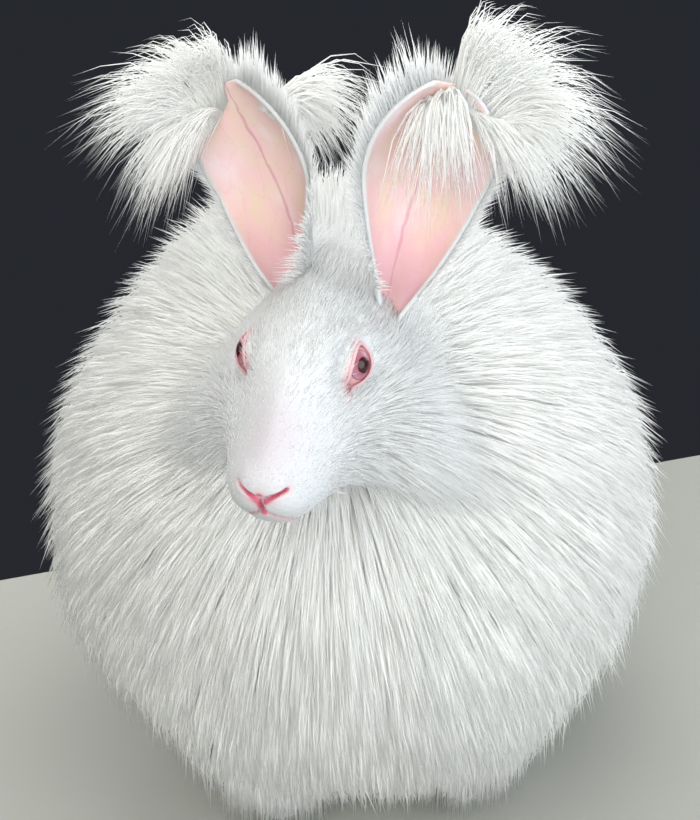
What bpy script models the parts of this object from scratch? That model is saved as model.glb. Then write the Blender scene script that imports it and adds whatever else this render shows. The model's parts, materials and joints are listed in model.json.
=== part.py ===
"""A life-size angora rabbit, sitting, with its head turned a little to its right.

The rabbit faces -Y, its left side is +X, and +Z is up. The units are metres. Its long wool is a ball of
flat, tapered locks over a woolly core. The ball is modelled whole and parted by thin cuts into neck, torso
and legs. The head, ears, eyes and tail are solids of their own, and each meets the next face to face.
"""

import math
import random

import bmesh
import bpy
from mathutils import Matrix, Vector

# The gap that two touching nodes keep, and how much more a cutter grows so that the gap holds on flat faces
# and round sharp locks
GAP = 0.0003
SMOOTH_GAP = GAP * 1.3
LOCK_GAP = GAP * 2

# The ball of wool, out to the tips of the locks
BALL_CENTRE = Vector((0.0, 0.0, 0.132))
BALL_SEMI = Vector((0.151, 0.169, 0.142))
UNDERSIDE_Z = 0.004

# The woolly core, at most half way from the skin to the tips
CORE_DEPTH = 0.034
CORE_UNDERSIDE_Z = 0.016

# The hump of wool that stands up behind the head
HUMP_CENTRE = Vector((-0.008, 0.012, 0.190))
HUMP_SEMI = Vector((0.105, 0.112, 0.100))

# The wool that hangs over each foreleg, on the left side
FORE_LOBE_CENTRE = Vector((0.048, -0.070, 0.058))
FORE_LOBE_SEMI = Vector((0.044, 0.046, 0.055))

# The locks of the coat: how many would cover a whole ball, their size, and how they lie. A lock leaves the
# core outward by LOCK_OUTWARD and slides back and down by LOCK_SLIDE
SEED = 3
LOCK_COUNT = 144
LOCK_WIDTH = 0.046
LOCK_THICKNESS = 0.016
LOCK_SUNK = 0.010
LOCK_OUTWARD = 0.15
LOCK_SLIDE = 0.060
LOCK_LIE = Vector((0.0, 0.55, -0.85))
LOCK_SECTIONS = ((0.0, 1.0), (0.42, 0.86), (0.78, 0.44))
LOCK_LOWEST = -0.86
LOCK_SPILL = 0.040

# How much the locks differ: their places, their slant, their width and their reach
LOCK_SCATTER = 0.05
LOCK_SWAY = 0.25
LOCK_SIZES = (0.85, 1.12)
LOCK_REACHES = (0.96, 1.0)

# Where the thin cuts part the ball
FRONT_CUT_Y = -0.034
FORELEG_CUT_Z = 0.092
HINDLEG_CUT_X = 0.032
HINDLEG_FRONT_Y = -0.010
HINDLEG_BACK_Y = 0.118
HINDLEG_CUT_Z = 0.104
FAR = 0.5

# The head: its middle, and how far it is turned, dipped and tilted
HEAD_CENTRE = Vector((-0.034, -0.128, 0.255))
HEAD_TURN = math.radians(23.0)
HEAD_DIP = math.radians(6.0)
HEAD_TILT = math.radians(-1.0)

# The head's sections from nape to nose: forward, top, bottom and half width
HEAD_SECTIONS = (
    (-0.062, 0.006, -0.018, 0.014),
    (-0.051, 0.022, -0.030, 0.027),
    (-0.034, 0.033, -0.037, 0.035),
    (-0.014, 0.037, -0.039, 0.038),
    (0.006, 0.035, -0.038, 0.035),
    (0.021, 0.029, -0.036, 0.029),
    (0.035, 0.020, -0.034, 0.023),
    (0.047, 0.011, -0.032, 0.0185),
    (0.057, 0.001, -0.027, 0.0145),
    (0.062, -0.006, -0.017, 0.008),
)
HEAD_WIDEST = 0.40
HEAD_KEEP_CLEAR = Vector((0.072, 0.046, 0.045))
HEAD_BARE_COSINE = 0.965
HEAD_ROUND_ABOVE = 1.30
HEAD_ROUND_BELOW = 0.85
HEAD_SIDES = 14

# Swells and hollows of the face, on the left side: place, reach and height
FACE_SWELLS = (
    (Vector((0.046, 0.013, -0.018)), 0.012, 0.0022),
    (Vector((-0.012, 0.034, -0.016)), 0.022, 0.0026),
    (Vector((0.006, 0.024, 0.024)), 0.012, 0.0016),
    (Vector((0.024, 0.021, 0.008)), 0.012, -0.0016),
    (Vector((0.046, 0.000, -0.033)), 0.011, 0.0016),
    (Vector((0.058, 0.000, -0.008)), 0.008, 0.0008),
)

# The long tufts of each cheek, from the level one to the one that hangs
CHEEK_PLACE = Vector((-0.020, 0.024, -0.014))
CHEEK_LOCKS = 5
CHEEK_WIDTH = 0.021
CHEEK_THICKNESS = 0.007
CHEEK_LENGTH = 0.031
CHEEK_FIRST = math.radians(12.0)
CHEEK_LAST = math.radians(-88.0)
CHEEK_BACK = -0.22
CHEEK_STEP = 0.006
CHEEK_START = 0.004
CHEEK_ARCH = 0.006
CHEEK_DROOP = 0.004
CHEEK_FACING = Vector((1.0, 0.0, 0.3))

# The eyes and their lids
EYE_PLACE = Vector((0.006, 0.0200, 0.0120))
EYE_RADIUS = 0.0085
EYE_LOOKS = Vector((0.35, 0.90, 0.22))
LID_REACH = 0.0046
LID_THICK = 0.0019
LID_STRETCH = 1.22
LID_SLANT = math.radians(38.0)
LID_INSET = 0.0016
LID_ROWS = 16
LID_SIDES = 5

# The nostrils and the line of the mouth, on the left side, as places on the head
NOSTRIL_PLACE = Vector((0.0600, 0.0056, -0.0080))
NOSTRIL_SEMI = Vector((0.0045, 0.0056, 0.0012))
NOSTRIL_SLANT = math.radians(26.0)
MOUTH_LINE = (
    Vector((0.0640, 0.0000, -0.0105)),
    Vector((0.0620, 0.0000, -0.0160)),
    Vector((0.0600, 0.0004, -0.0210)),
    Vector((0.0560, 0.0060, -0.0255)),
    Vector((0.0470, 0.0140, -0.0275)),
    Vector((0.0360, 0.0200, -0.0260)),
)
MOUTH_SLIT = 0.0010

# The ears
EAR_PLACE = {"left": Vector((-0.038, 0.0190, 0.0300)), "right": Vector((-0.043, 0.0160, 0.0310))}
EAR_DIRECTION = {"left": Vector((-0.30, 0.26, 0.93)), "right": Vector((-0.18, 0.40, 0.91))}
EAR_OPENS = math.radians(32.0)
EAR_SUNK = 0.012
EAR_LENGTH = 0.089
EAR_HALF_WIDTH = 0.0245
EAR_WALL = 0.0024
EAR_BEND = 0.010
EAR_ROWS = 9
EAR_COLUMNS = 8

# An ear's outline: its width at the base, how it swells, and where and how fast it closes to the tip
EAR_BASE_SHARE = 0.42
EAR_SWELL_FIRST = 0.20
EAR_SWELL_SPAN = 0.50
EAR_SWELL_POWER = 1.5
EAR_CLOSES = 0.45
EAR_CLOSE_POWER = 2.6
EAR_LAST_ROW = 0.985
EAR_ROW_POWER = 0.92

# How far an ear's sides wrap round its cup, in radians, at the base and from where it lies open
EAR_WRAP_BASE = 2.30
EAR_WRAP_OPEN = 0.85
EAR_OPEN_FROM = 0.55

# The plume of long wool on the tip of each ear. Each fan has its first and last angle, where 0 is outward
# and 90 is up, then its shortest and longest lock, its count, and how far forward it leans
PLUME_FANS = {
    "left": (
        (82, 20, 0.046, 0.056, 5, 0.004),
        (2, -60, 0.068, 0.050, 4, 0.010),
        (-80, -110, 0.040, 0.046, 2, 0.018),
    ),
    "right": (
        (74, 22, 0.040, 0.052, 5, 0.002),
        (0, -58, 0.066, 0.052, 4, 0.006),
        (168, 222, 0.046, 0.036, 3, 0.008),
    ),
}
PLUME_WIDTH = 0.019
PLUME_THICKNESS = 0.0055
PLUME_ARCH = 0.016
PLUME_ROOT_RISE = 0.97
PLUME_ROOT_SPREAD = 0.20
PLUME_ROOT_ACROSS = 0.75
PLUME_FACING = Vector((0.0, -0.8, 0.6))

# How much the locks of a plume differ: their angle in degrees, how far forward they lean, and their twist
PLUME_ANGLE_SWAY = 6
PLUME_LEAN_SWAY = 0.010
PLUME_TWIST = 0.15

# The wool that hangs round each foot on the left side: how far out it hangs, from which angle to which,
# where 0 is forward and 90 is to the side, and in how many locks
FRINGES = {
    "forepaw": (0.029, 0.029, -62, 62, 4),
    "hindpaw": (0.033, 0.060, 15, 165, 5),
}
FRINGE_TOP_Z = 0.058
FRINGE_BEND_Z = 0.0435
FRINGE_ROOT = 0.35
FRINGE_BULGE = 1.05
FRINGE_WIDTH = 0.032
FRINGE_THICKNESS = 0.012

# The feet
FOREPAW_PLACE = Vector((0.044, -0.064, 0.010))
FOREPAW_SEMI = Vector((0.014, 0.026, 0.0125))
HINDPAW_PLACE = Vector((0.064, 0.044, 0.010))
HINDPAW_SEMI = Vector((0.018, 0.046, 0.0125))

# The tail
TAIL_PLACE = Vector((0.0, 0.146, 0.088))
TAIL_SEMI = Vector((0.020, 0.026, 0.024))
TAIL_REACH = Vector((0.030, 0.042, 0.036))
TAIL_LOCKS = 8
TAIL_WIDTH = 0.024
TAIL_THICKNESS = 0.011
TAIL_FAN = (-150, 150)
TAIL_BACK = 0.75
TAIL_PATH = (0.30, 0.90, 1.10)
TAIL_LIFT = Vector((0.0, 0.003, 0.002))
TAIL_DROOP = Vector((0.0, 0.002, -0.008))

WOOL_COLOUR = (0.90, 0.91, 0.88)
FACE_COLOUR = (0.92, 0.92, 0.92)
EAR_COLOUR = (0.86, 0.66, 0.63)
EYE_COLOUR = (0.38, 0.07, 0.11)


def clear_scene():
    for obj in list(bpy.data.objects):
        bpy.data.objects.remove(obj, do_unlink=True)


def new_collection(name):
    collection = bpy.data.collections.new(name)
    bpy.context.scene.collection.children.link(collection)
    return collection


def new_material(name, colour, roughness):
    material = bpy.data.materials.new(name)
    material.use_nodes = True
    shader = material.node_tree.nodes["Principled BSDF"]
    shader.inputs["Base Color"].default_value = (*colour, 1.0)
    shader.inputs["Roughness"].default_value = roughness
    shader.inputs["Metallic"].default_value = 0.0
    return material


def add_object(name, bm, collection):
    bmesh.ops.recalc_face_normals(bm, faces=bm.faces)
    mesh = bpy.data.meshes.new(name)
    bm.to_mesh(mesh)
    bm.free()
    obj = bpy.data.objects.new(name, mesh)
    collection.objects.link(obj)
    return obj


def guide(obj):
    obj.hide_render = True
    obj.display_type = "WIRE"
    return obj


def apply_modifiers(obj):
    graph = bpy.context.evaluated_depsgraph_get()
    mesh = bpy.data.meshes.new_from_object(obj.evaluated_get(graph))
    obj.modifiers.clear()
    obj.data = mesh


def remove_object(obj):
    bpy.data.objects.remove(obj, do_unlink=True)


def boolean(obj, other, operation, solver="EXACT"):
    modifier = obj.modifiers.new("cut", "BOOLEAN")
    modifier.operation = operation
    modifier.solver = solver
    modifier.object = other
    apply_modifiers(obj)


def join_all(obj, collection):
    """Fuses every object of a collection into obj with one union, then removes them."""
    modifier = obj.modifiers.new("join", "BOOLEAN")
    modifier.operation = "UNION"
    modifier.solver = "MANIFOLD"
    modifier.operand_type = "COLLECTION"
    modifier.collection = collection
    apply_modifiers(obj)
    for piece in list(collection.objects):
        remove_object(piece)


def surface_volume(faces):
    total = 0.0
    for face in faces:
        corners = [vert.co for vert in face.verts]
        for i in range(1, len(corners) - 1):
            total += corners[0].dot(corners[i].cross(corners[i + 1])) / 6.0
    return total


def keep_largest(obj):
    """Keeps only the largest closed surface of a mesh."""
    bm = bmesh.new()
    bm.from_mesh(obj.data)
    waiting = set(bm.faces)
    shells = []
    while waiting:
        shell = {waiting.pop()}
        edge_of_shell = list(shell)
        while edge_of_shell:
            face = edge_of_shell.pop()
            for edge in face.edges:
                for near in edge.link_faces:
                    if near in waiting:
                        waiting.remove(near)
                        shell.add(near)
                        edge_of_shell.append(near)
        shells.append(shell)
    shells.sort(key=surface_volume, reverse=True)
    for shell in shells[1:]:
        bmesh.ops.delete(bm, geom=list(shell), context="FACES")
    bm.to_mesh(obj.data)
    bm.free()


def ellipsoid(name, centre, semi, collection, across=20, rings=12, turn=Matrix.Identity(3)):
    bm = bmesh.new()
    bmesh.ops.create_uvsphere(bm, u_segments=across, v_segments=rings, radius=1.0)
    place = Matrix.Translation(centre) @ turn.to_4x4() @ Matrix.Diagonal((*semi, 1.0))
    bmesh.ops.transform(bm, matrix=place, verts=bm.verts)
    return add_object(name, bm, collection)


def box(name, low, high, collection):
    bm = bmesh.new()
    bmesh.ops.create_cube(bm, size=1.0)
    low, high = Vector(low), Vector(high)
    place = Matrix.Translation((low + high) / 2) @ Matrix.Diagonal((*(high - low), 1.0))
    bmesh.ops.transform(bm, matrix=place, verts=bm.verts)
    return guide(add_object(name, bm, collection))


def flatten_below(obj, height):
    bm = bmesh.new()
    bm.from_mesh(obj.data)
    geometry = bm.verts[:] + bm.edges[:] + bm.faces[:]
    plane = {"plane_co": (0, 0, height), "plane_no": (0, 0, -1)}
    bmesh.ops.bisect_plane(bm, geom=geometry, clear_outer=True, **plane)
    bmesh.ops.holes_fill(bm, edges=[edge for edge in bm.edges if edge.is_boundary])
    bmesh.ops.recalc_face_normals(bm, faces=bm.faces)
    bm.to_mesh(obj.data)
    bm.free()


def grown_copy(obj, distance, collection):
    """A copy of a smooth solid, pushed out all over, to cut its neighbours with."""
    copy = obj.copy()
    copy.data = obj.data.copy()
    copy.name = obj.name + "_clearance"
    collection.objects.link(copy)
    bm = bmesh.new()
    bm.from_mesh(copy.data)
    bm.normal_update()
    moves = [(vert, vert.normal * distance) for vert in bm.verts]
    for vert, move in moves:
        vert.co += move
    bm.to_mesh(copy.data)
    bm.free()
    return guide(copy)


def mirrored(place, side):
    return Vector((place.x, place.y if side == "left" else -place.y, place.z))


def on_side(place, side):
    return Vector((place.x if side == "left" else -place.x, place.y, place.z))


def head_axes():
    """Turns forward, left and up of the head into the rabbit's own axes."""
    facing = Matrix(((0, 1, 0), (-1, 0, 0), (0, 0, 1)))
    turn = Matrix.Rotation(-HEAD_TURN, 3, "Z")
    return turn @ facing @ Matrix.Rotation(HEAD_DIP, 3, "Y") @ Matrix.Rotation(HEAD_TILT, 3, "X")


def head_matrix():
    return Matrix.Translation(HEAD_CENTRE) @ head_axes().to_4x4()


def section_ring(bm, section):
    forward, top, bottom, half_width = section
    middle = bottom + HEAD_WIDEST * (top - bottom)
    ring = []
    for i in range(HEAD_SIDES):
        angle = 2 * math.pi * i / HEAD_SIDES
        across, rise = math.cos(angle), math.sin(angle)
        power = HEAD_ROUND_ABOVE if rise > 0 else HEAD_ROUND_BELOW
        left = half_width * math.copysign(abs(across) ** power, across)
        up = middle + rise * ((top - middle) if rise > 0 else (middle - bottom))
        ring.append(bm.verts.new((forward, left, up)))
    return ring


def head_form(collection):
    """The head without eyes or slits: a loft through its sections, with the swells of the face."""
    bm = bmesh.new()
    rings = [section_ring(bm, section) for section in HEAD_SECTIONS]
    for back, front in zip(rings, rings[1:]):
        for i in range(HEAD_SIDES):
            j = (i + 1) % HEAD_SIDES
            bm.faces.new((back[i], back[j], front[j], front[i]))
    for ring in (rings[0], rings[-1]):
        middle = bm.verts.new(sum((vert.co for vert in ring), Vector()) / HEAD_SIDES)
        for i in range(HEAD_SIDES):
            bm.faces.new((ring[i], ring[(i + 1) % HEAD_SIDES], middle))
    bmesh.ops.recalc_face_normals(bm, faces=bm.faces)
    head = add_object("head", bm, collection)
    soften = head.modifiers.new("soften", "SUBSURF")
    soften.levels = 1
    soften.render_levels = 1
    apply_modifiers(head)
    bm = bmesh.new()
    bm.from_mesh(head.data)
    bm.normal_update()
    normals = [vert.normal.copy() for vert in bm.verts]
    for vert, normal in zip(bm.verts, normals):
        place = vert.co.copy()
        for side in ("left", "right"):
            for swell, reach, height in FACE_SWELLS:
                fade = math.exp(-((place - mirrored(swell, side)).length / reach) ** 2)
                vert.co += normal * height * fade
    bmesh.ops.transform(bm, matrix=head_matrix(), verts=bm.verts)
    bm.to_mesh(head.data)
    bm.free()
    return head


def add_cheek_locks(side, collection, growth=0.0):
    """The tufts that fan out below and behind a cheek, or a grown copy of them to cut the neck with."""
    root = mirrored(CHEEK_PLACE, side)
    for i in range(CHEEK_LOCKS):
        angle = CHEEK_FIRST + (CHEEK_LAST - CHEEK_FIRST) * i / (CHEEK_LOCKS - 1)
        out = mirrored(Vector((CHEEK_BACK, math.cos(angle), math.sin(angle))), side)
        start = root + Vector((CHEEK_STEP * i, 0, 0)) + out * CHEEK_START
        tip = start + out * (CHEEK_LENGTH + growth) - Vector((0, 0, CHEEK_DROOP))
        bend = start + out * CHEEK_LENGTH / 2 + Vector((0, 0, CHEEK_ARCH))
        corners = [head_matrix() @ place for place in (start, bend, tip)]
        facing = head_axes() @ CHEEK_FACING
        width, thickness = CHEEK_WIDTH + 2 * growth, CHEEK_THICKNESS + 2 * growth
        add_lock(*corners, width, thickness, facing, collection)


def eye_turn(side):
    """Axes of an eye: across it to the front, up its lid, and out of the head."""
    out = mirrored(EYE_LOOKS, side).normalized()
    front = Vector((math.cos(LID_SLANT), 0, -math.sin(LID_SLANT)))
    front = (front - out * front.dot(out)).normalized()
    return Matrix((front, out.cross(front), out)).transposed()


def add_lids(side, collection):
    """A raised rim round the eye's opening, longer from front to back than it is high."""
    bm = bmesh.new()
    rings = []
    for i in range(LID_ROWS):
        angle = 2 * math.pi * i / LID_ROWS
        out_of_ring = Vector((math.cos(angle) * LID_STRETCH, math.sin(angle), 0))
        ring = []
        for j in range(LID_SIDES):
            roll = 2 * math.pi * j / LID_SIDES
            spread = EYE_RADIUS - LID_INSET + LID_THICK * math.cos(roll)
            ring.append(bm.verts.new(out_of_ring * spread + Vector((0, 0, LID_THICK * math.sin(roll)))))
        rings.append(ring)
    for i in range(LID_ROWS):
        for j in range(LID_SIDES):
            k, m = (i + 1) % LID_ROWS, (j + 1) % LID_SIDES
            bm.faces.new((rings[i][j], rings[k][j], rings[k][m], rings[i][m]))
    place = Matrix.Translation(mirrored(EYE_PLACE, side)) @ eye_turn(side).to_4x4()
    place = head_matrix() @ place @ Matrix.Translation((0, 0, LID_REACH))
    bmesh.ops.transform(bm, matrix=place, verts=bm.verts)
    return add_object("lids", bm, collection)


def mesh_tube(name, points, radius, collection):
    """A tube through points, as one closed mesh."""
    curve = bpy.data.curves.new(name, "CURVE")
    curve.dimensions = "3D"
    curve.bevel_depth = radius
    curve.bevel_resolution = 1
    curve.use_fill_caps = True
    spline = curve.splines.new("POLY")
    spline.points.add(len(points) - 1)
    for point, place in zip(spline.points, points):
        point.co = (*place, 1.0)
    drawn = bpy.data.objects.new(name, curve)
    collection.objects.link(drawn)
    graph = bpy.context.evaluated_depsgraph_get()
    bm = bmesh.new()
    bm.from_mesh(bpy.data.meshes.new_from_object(drawn.evaluated_get(graph)))
    remove_object(drawn)
    bmesh.ops.remove_doubles(bm, verts=bm.verts, dist=0.00001)
    return guide(add_object(name, bm, collection))


def on_skin(head, place):
    """The nearest place on the skin to a place given on the head."""
    return head.closest_point_on_mesh(head_matrix() @ place)[1]


def make_head(parts, cutters):
    """The head, and the grown copy of it that its neighbours are cut with."""
    head = head_form(parts)
    clearance = grown_copy(head, SMOOTH_GAP, cutters)
    details, grown_details = new_collection("details"), new_collection("grown_details")
    for side in ("left", "right"):
        add_lids(side, details)
        add_cheek_locks(side, details)
        add_cheek_locks(side, grown_details, LOCK_GAP)
    join_all(head, details)
    join_all(clearance, grown_details)
    bpy.data.collections.remove(details)
    bpy.data.collections.remove(grown_details)
    for side in ("left", "right"):
        centre = head_matrix() @ mirrored(EYE_PLACE, side)
        radius = EYE_RADIUS + GAP
        socket = guide(ellipsoid("socket", centre, (radius, radius, radius), cutters, 16, 10))
        boolean(head, socket, "DIFFERENCE", "MANIFOLD")
        slant = Matrix.Rotation(NOSTRIL_SLANT if side == "left" else -NOSTRIL_SLANT, 3, "X")
        centre = on_skin(clearance, mirrored(NOSTRIL_PLACE, side))
        nostril = guide(ellipsoid("nostril", centre, NOSTRIL_SEMI, cutters, 8, 6, head_axes() @ slant))
        boolean(head, nostril, "DIFFERENCE", "MANIFOLD")
        line = [on_skin(clearance, mirrored(place, side)) for place in MOUTH_LINE]
        slit = mesh_tube("mouth_line", line, MOUTH_SLIT, cutters)
        boolean(head, slit, "DIFFERENCE", "MANIFOLD")
        for cutter in (socket, nostril, slit):
            remove_object(cutter)
    keep_largest(head)
    return head, clearance


def make_eye(side, parts):
    centre = head_matrix() @ mirrored(EYE_PLACE, side)
    size = Vector((EYE_RADIUS, EYE_RADIUS, EYE_RADIUS))
    return ellipsoid("eye_" + side, centre, size, parts, 14, 9)


def ear_frame(side):
    """The base of an ear, and the directions along it, across it and out of its cup."""
    along = (head_axes() @ mirrored(EAR_DIRECTION[side], side)).normalized()
    opens = Vector((math.cos(EAR_OPENS), math.sin(EAR_OPENS) * (1 if side == "left" else -1), 0))
    opens = head_axes() @ opens
    opens = (opens - along * opens.dot(along)).normalized()
    base = head_matrix() @ mirrored(EAR_PLACE[side], side) - along * EAR_SUNK
    return base, along, opens.cross(along), opens


def ear_point(frame, rise, across):
    """A point of the ear's back wall, from base (0) to tip (1) and from edge (-1) to edge (1)."""
    base, along, sideways, opens = frame
    swell = math.sin(math.pi * (EAR_SWELL_FIRST + EAR_SWELL_SPAN * rise)) ** EAR_SWELL_POWER
    closed = max(0.0, (rise - EAR_CLOSES) / (1 - EAR_CLOSES)) ** EAR_CLOSE_POWER
    width = EAR_HALF_WIDTH * (EAR_BASE_SHARE + (1 - EAR_BASE_SHARE) * swell) * math.sqrt(1 - closed)
    wrap = EAR_WRAP_BASE + (EAR_WRAP_OPEN - EAR_WRAP_BASE) * min(1.0, rise / EAR_OPEN_FROM)
    radius = width / math.sin(min(wrap, math.pi / 2))
    angle = wrap * across
    bend = EAR_BEND * math.sin(math.pi * rise)
    middle = base + along * (EAR_LENGTH * rise) - opens * bend
    return middle + sideways * radius * math.sin(angle) + opens * radius * (1 - math.cos(angle))


def make_ear(side, parts):
    """The cupped shell of an ear, without its plume."""
    frame = ear_frame(side)
    bm = bmesh.new()
    rows = []
    for i in range(EAR_ROWS + 1):
        rise = min(EAR_LAST_ROW, (i / EAR_ROWS) ** EAR_ROW_POWER)
        places = [ear_point(frame, rise, 2 * j / EAR_COLUMNS - 1) for j in range(EAR_COLUMNS + 1)]
        rows.append([bm.verts.new(place) for place in places])
    for low, high in zip(rows, rows[1:]):
        for j in range(EAR_COLUMNS):
            bm.faces.new((low[j], low[j + 1], high[j + 1], high[j]))
    ear = add_object("ear_" + side, bm, parts)
    wall = ear.modifiers.new("wall", "SOLIDIFY")
    wall.thickness = EAR_WALL
    wall.offset = 0.0
    apply_modifiers(ear)
    return ear


def bent_path(root, bend, tip, share):
    return root * (1 - share) ** 2 + bend * 2 * share * (1 - share) + tip * share ** 2


def bent_slope(root, bend, tip, share):
    return ((bend - root) * (1 - share) + (tip - bend) * share).normalized()


def add_lock(root, bend, tip, width, thickness, facing, collection, floor=-FAR):
    """A flat, tapered lock with a lens section, bent from its root to its tip."""
    bm = bmesh.new()
    rings = []
    for share, size in LOCK_SECTIONS:
        middle = bent_path(root, bend, tip, share)
        slope = bent_slope(root, bend, tip, share)
        across = slope.cross(facing).normalized() * width / 2 * size
        above = across.cross(slope).normalized() * thickness / 2 * size
        corners = (middle + across, middle + above, middle - across, middle - above)
        rings.append([bm.verts.new((place.x, place.y, max(place.z, floor))) for place in corners])
    for low, high in zip(rings, rings[1:]):
        for i in range(4):
            j = (i + 1) % 4
            bm.faces.new((low[i], low[j], high[j]))
            bm.faces.new((low[i], high[j], high[i]))
    end = bm.verts.new(tip)
    for i in range(4):
        bm.faces.new((rings[-1][i], rings[-1][(i + 1) % 4], end))
    bm.faces.new(rings[0])
    return add_object("lock", bm, collection)


def add_plume(side, collection):
    """The fans of locks that spring from an ear's tip, arch over and fall."""
    frame = ear_frame(side)
    outward = Vector((1 if side == "left" else -1, 0, 0))
    outer_edge = -1 if side == "left" else 1
    draw = random.Random(SEED + (1 if side == "left" else 2))
    for first, last, length_first, length_last, count, lean in PLUME_FANS[side]:
        for i in range(count):
            share = i / max(1, count - 1)
            sway = draw.uniform(-PLUME_ANGLE_SWAY, PLUME_ANGLE_SWAY)
            angle = math.radians(first + (last - first) * share + sway)
            length = length_first + (length_last - length_first) * share
            rise = PLUME_ROOT_RISE - PLUME_ROOT_SPREAD * abs(math.cos(angle)) * draw.uniform(0.6, 1.0)
            across = outer_edge * PLUME_ROOT_ACROSS * math.cos(angle)
            root = ear_point(frame, rise, across)
            spread = outward * math.cos(angle) + Vector((0, 0, math.sin(angle)))
            forward = Vector((0, draw.uniform(-PLUME_LEAN_SWAY, PLUME_LEAN_SWAY) - lean, 0))
            tip = root + spread * length + forward
            arch = Vector((0, 0, PLUME_ARCH + 0.2 * length))
            bend = root + spread * length * 0.45 + arch + forward * 0.3
            facing = PLUME_FACING + Vector((PLUME_TWIST * draw.uniform(-1, 1), 0, 0))
            add_lock(root, bend, tip, PLUME_WIDTH, PLUME_THICKNESS, facing, collection)


def make_paw(name, place, semi, collection):
    paw = ellipsoid(name, place, semi, collection, 14, 8)
    flatten_below(paw, 0.0)
    return paw


def coat_forms(depth):
    """The ellipsoids of the coat, drawn in by a depth below its tips."""
    inner = Vector((depth, depth, depth))
    forms = [(BALL_CENTRE, BALL_SEMI - inner), (HUMP_CENTRE, HUMP_SEMI - inner)]
    for side in ("left", "right"):
        forms.append((on_side(FORE_LOBE_CENTRE, side), FORE_LOBE_SEMI - inner * 0.6))
    return forms


def coat_reach(direction, depth):
    """How far the coat, drawn in by a depth, reaches from the middle of the ball in a direction."""
    furthest = 0.0
    for centre, semi in coat_forms(depth):
        start = Vector([(BALL_CENTRE[i] - centre[i]) / semi[i] for i in range(3)])
        step = Vector([direction[i] / semi[i] for i in range(3)])
        square, half, rest = step.dot(step), start.dot(step), start.dot(start) - 1
        inside = half * half - square * rest
        if inside > 0:
            furthest = max(furthest, (-half + math.sqrt(inside)) / square)
    return furthest


def clear_of_head(place):
    """Moves a place that is too near the head straight out of it."""
    local = head_matrix().inverted() @ place
    scaled = Vector([local[i] / HEAD_KEEP_CLEAR[i] for i in range(3)])
    if scaled.length >= 1:
        return place
    scaled.normalize()
    return head_matrix() @ Vector([scaled[i] * HEAD_KEEP_CLEAR[i] for i in range(3)])


def clear_of_legs(root, tip):
    """Lifts the tip of a lock that is rooted above a leg and ends only a little way past its cut."""
    over_hindleg = abs(tip.x) > HINDLEG_CUT_X and HINDLEG_FRONT_Y < tip.y < HINDLEG_BACK_Y
    cut = FORELEG_CUT_Z if tip.y < FRONT_CUT_Y else HINDLEG_CUT_Z if over_hindleg else -FAR
    if root.z > cut > tip.z > cut - LOCK_SPILL:
        tip = Vector((tip.x, tip.y, cut + GAP))
    return tip


def add_coat_lock(direction, draw, collection):
    lie = LOCK_LIE - direction * LOCK_LIE.dot(direction)
    lie += direction.cross(LOCK_LIE).normalized() * draw.uniform(-LOCK_SWAY, LOCK_SWAY)
    size = draw.uniform(*LOCK_SIZES)
    root = BALL_CENTRE + direction * (coat_reach(direction, CORE_DEPTH) - LOCK_SUNK)
    turned = (direction * LOCK_OUTWARD + lie * LOCK_SLIDE).normalized()
    tip = BALL_CENTRE + turned * coat_reach(turned, 0.0) * draw.uniform(*LOCK_REACHES)
    part_way = (direction * LOCK_OUTWARD + lie * LOCK_SLIDE * 0.25).normalized()
    bend = BALL_CENTRE + part_way * coat_reach(part_way, CORE_DEPTH * 0.15)
    tip.z = max(tip.z, UNDERSIDE_Z)
    bend, tip = clear_of_head(bend), clear_of_legs(root, clear_of_head(tip))
    add_lock(root, bend, tip, LOCK_WIDTH * size, LOCK_THICKNESS, direction, collection, UNDERSIDE_Z)


def add_coat(collection):
    """Locks spread evenly over the ball, each turned and sized a little differently."""
    draw = random.Random(SEED)
    turn = math.pi * (3 - math.sqrt(5))
    to_head = (HEAD_CENTRE - BALL_CENTRE).normalized()
    for i in range(LOCK_COUNT):
        height = 1 - 2 * (i + 0.5) / LOCK_COUNT
        round_ball = math.sqrt(1 - height * height)
        direction = Vector((round_ball * math.cos(turn * i), round_ball * math.sin(turn * i), height))
        direction += Vector([draw.uniform(-LOCK_SCATTER, LOCK_SCATTER) for axis in range(3)])
        direction.normalize()
        if direction.z > LOCK_LOWEST and direction.dot(to_head) < HEAD_BARE_COSINE:
            add_coat_lock(direction, draw, collection)


def add_fringe(name, place, side, collection):
    """Locks that hang to the floor round a foot."""
    reach_x, reach_y, first, last, count = FRINGES[name]
    for i in range(count):
        angle = math.radians(first + (last - first) * i / (count - 1))
        out = on_side(Vector((math.sin(angle), -math.cos(angle), 0)), side)
        reach = Vector((out.x * reach_x, out.y * reach_y, 0))
        middle = on_side(Vector((place.x, place.y, 0)), side)
        root = middle + reach * FRINGE_ROOT + Vector((0, 0, FRINGE_TOP_Z))
        bend = middle + reach * FRINGE_BULGE + Vector((0, 0, FRINGE_BEND_Z))
        tip = middle + reach + Vector((0, 0, UNDERSIDE_Z))
        add_lock(root, bend, tip, FRINGE_WIDTH, FRINGE_THICKNESS, out, collection, UNDERSIDE_Z)


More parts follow.
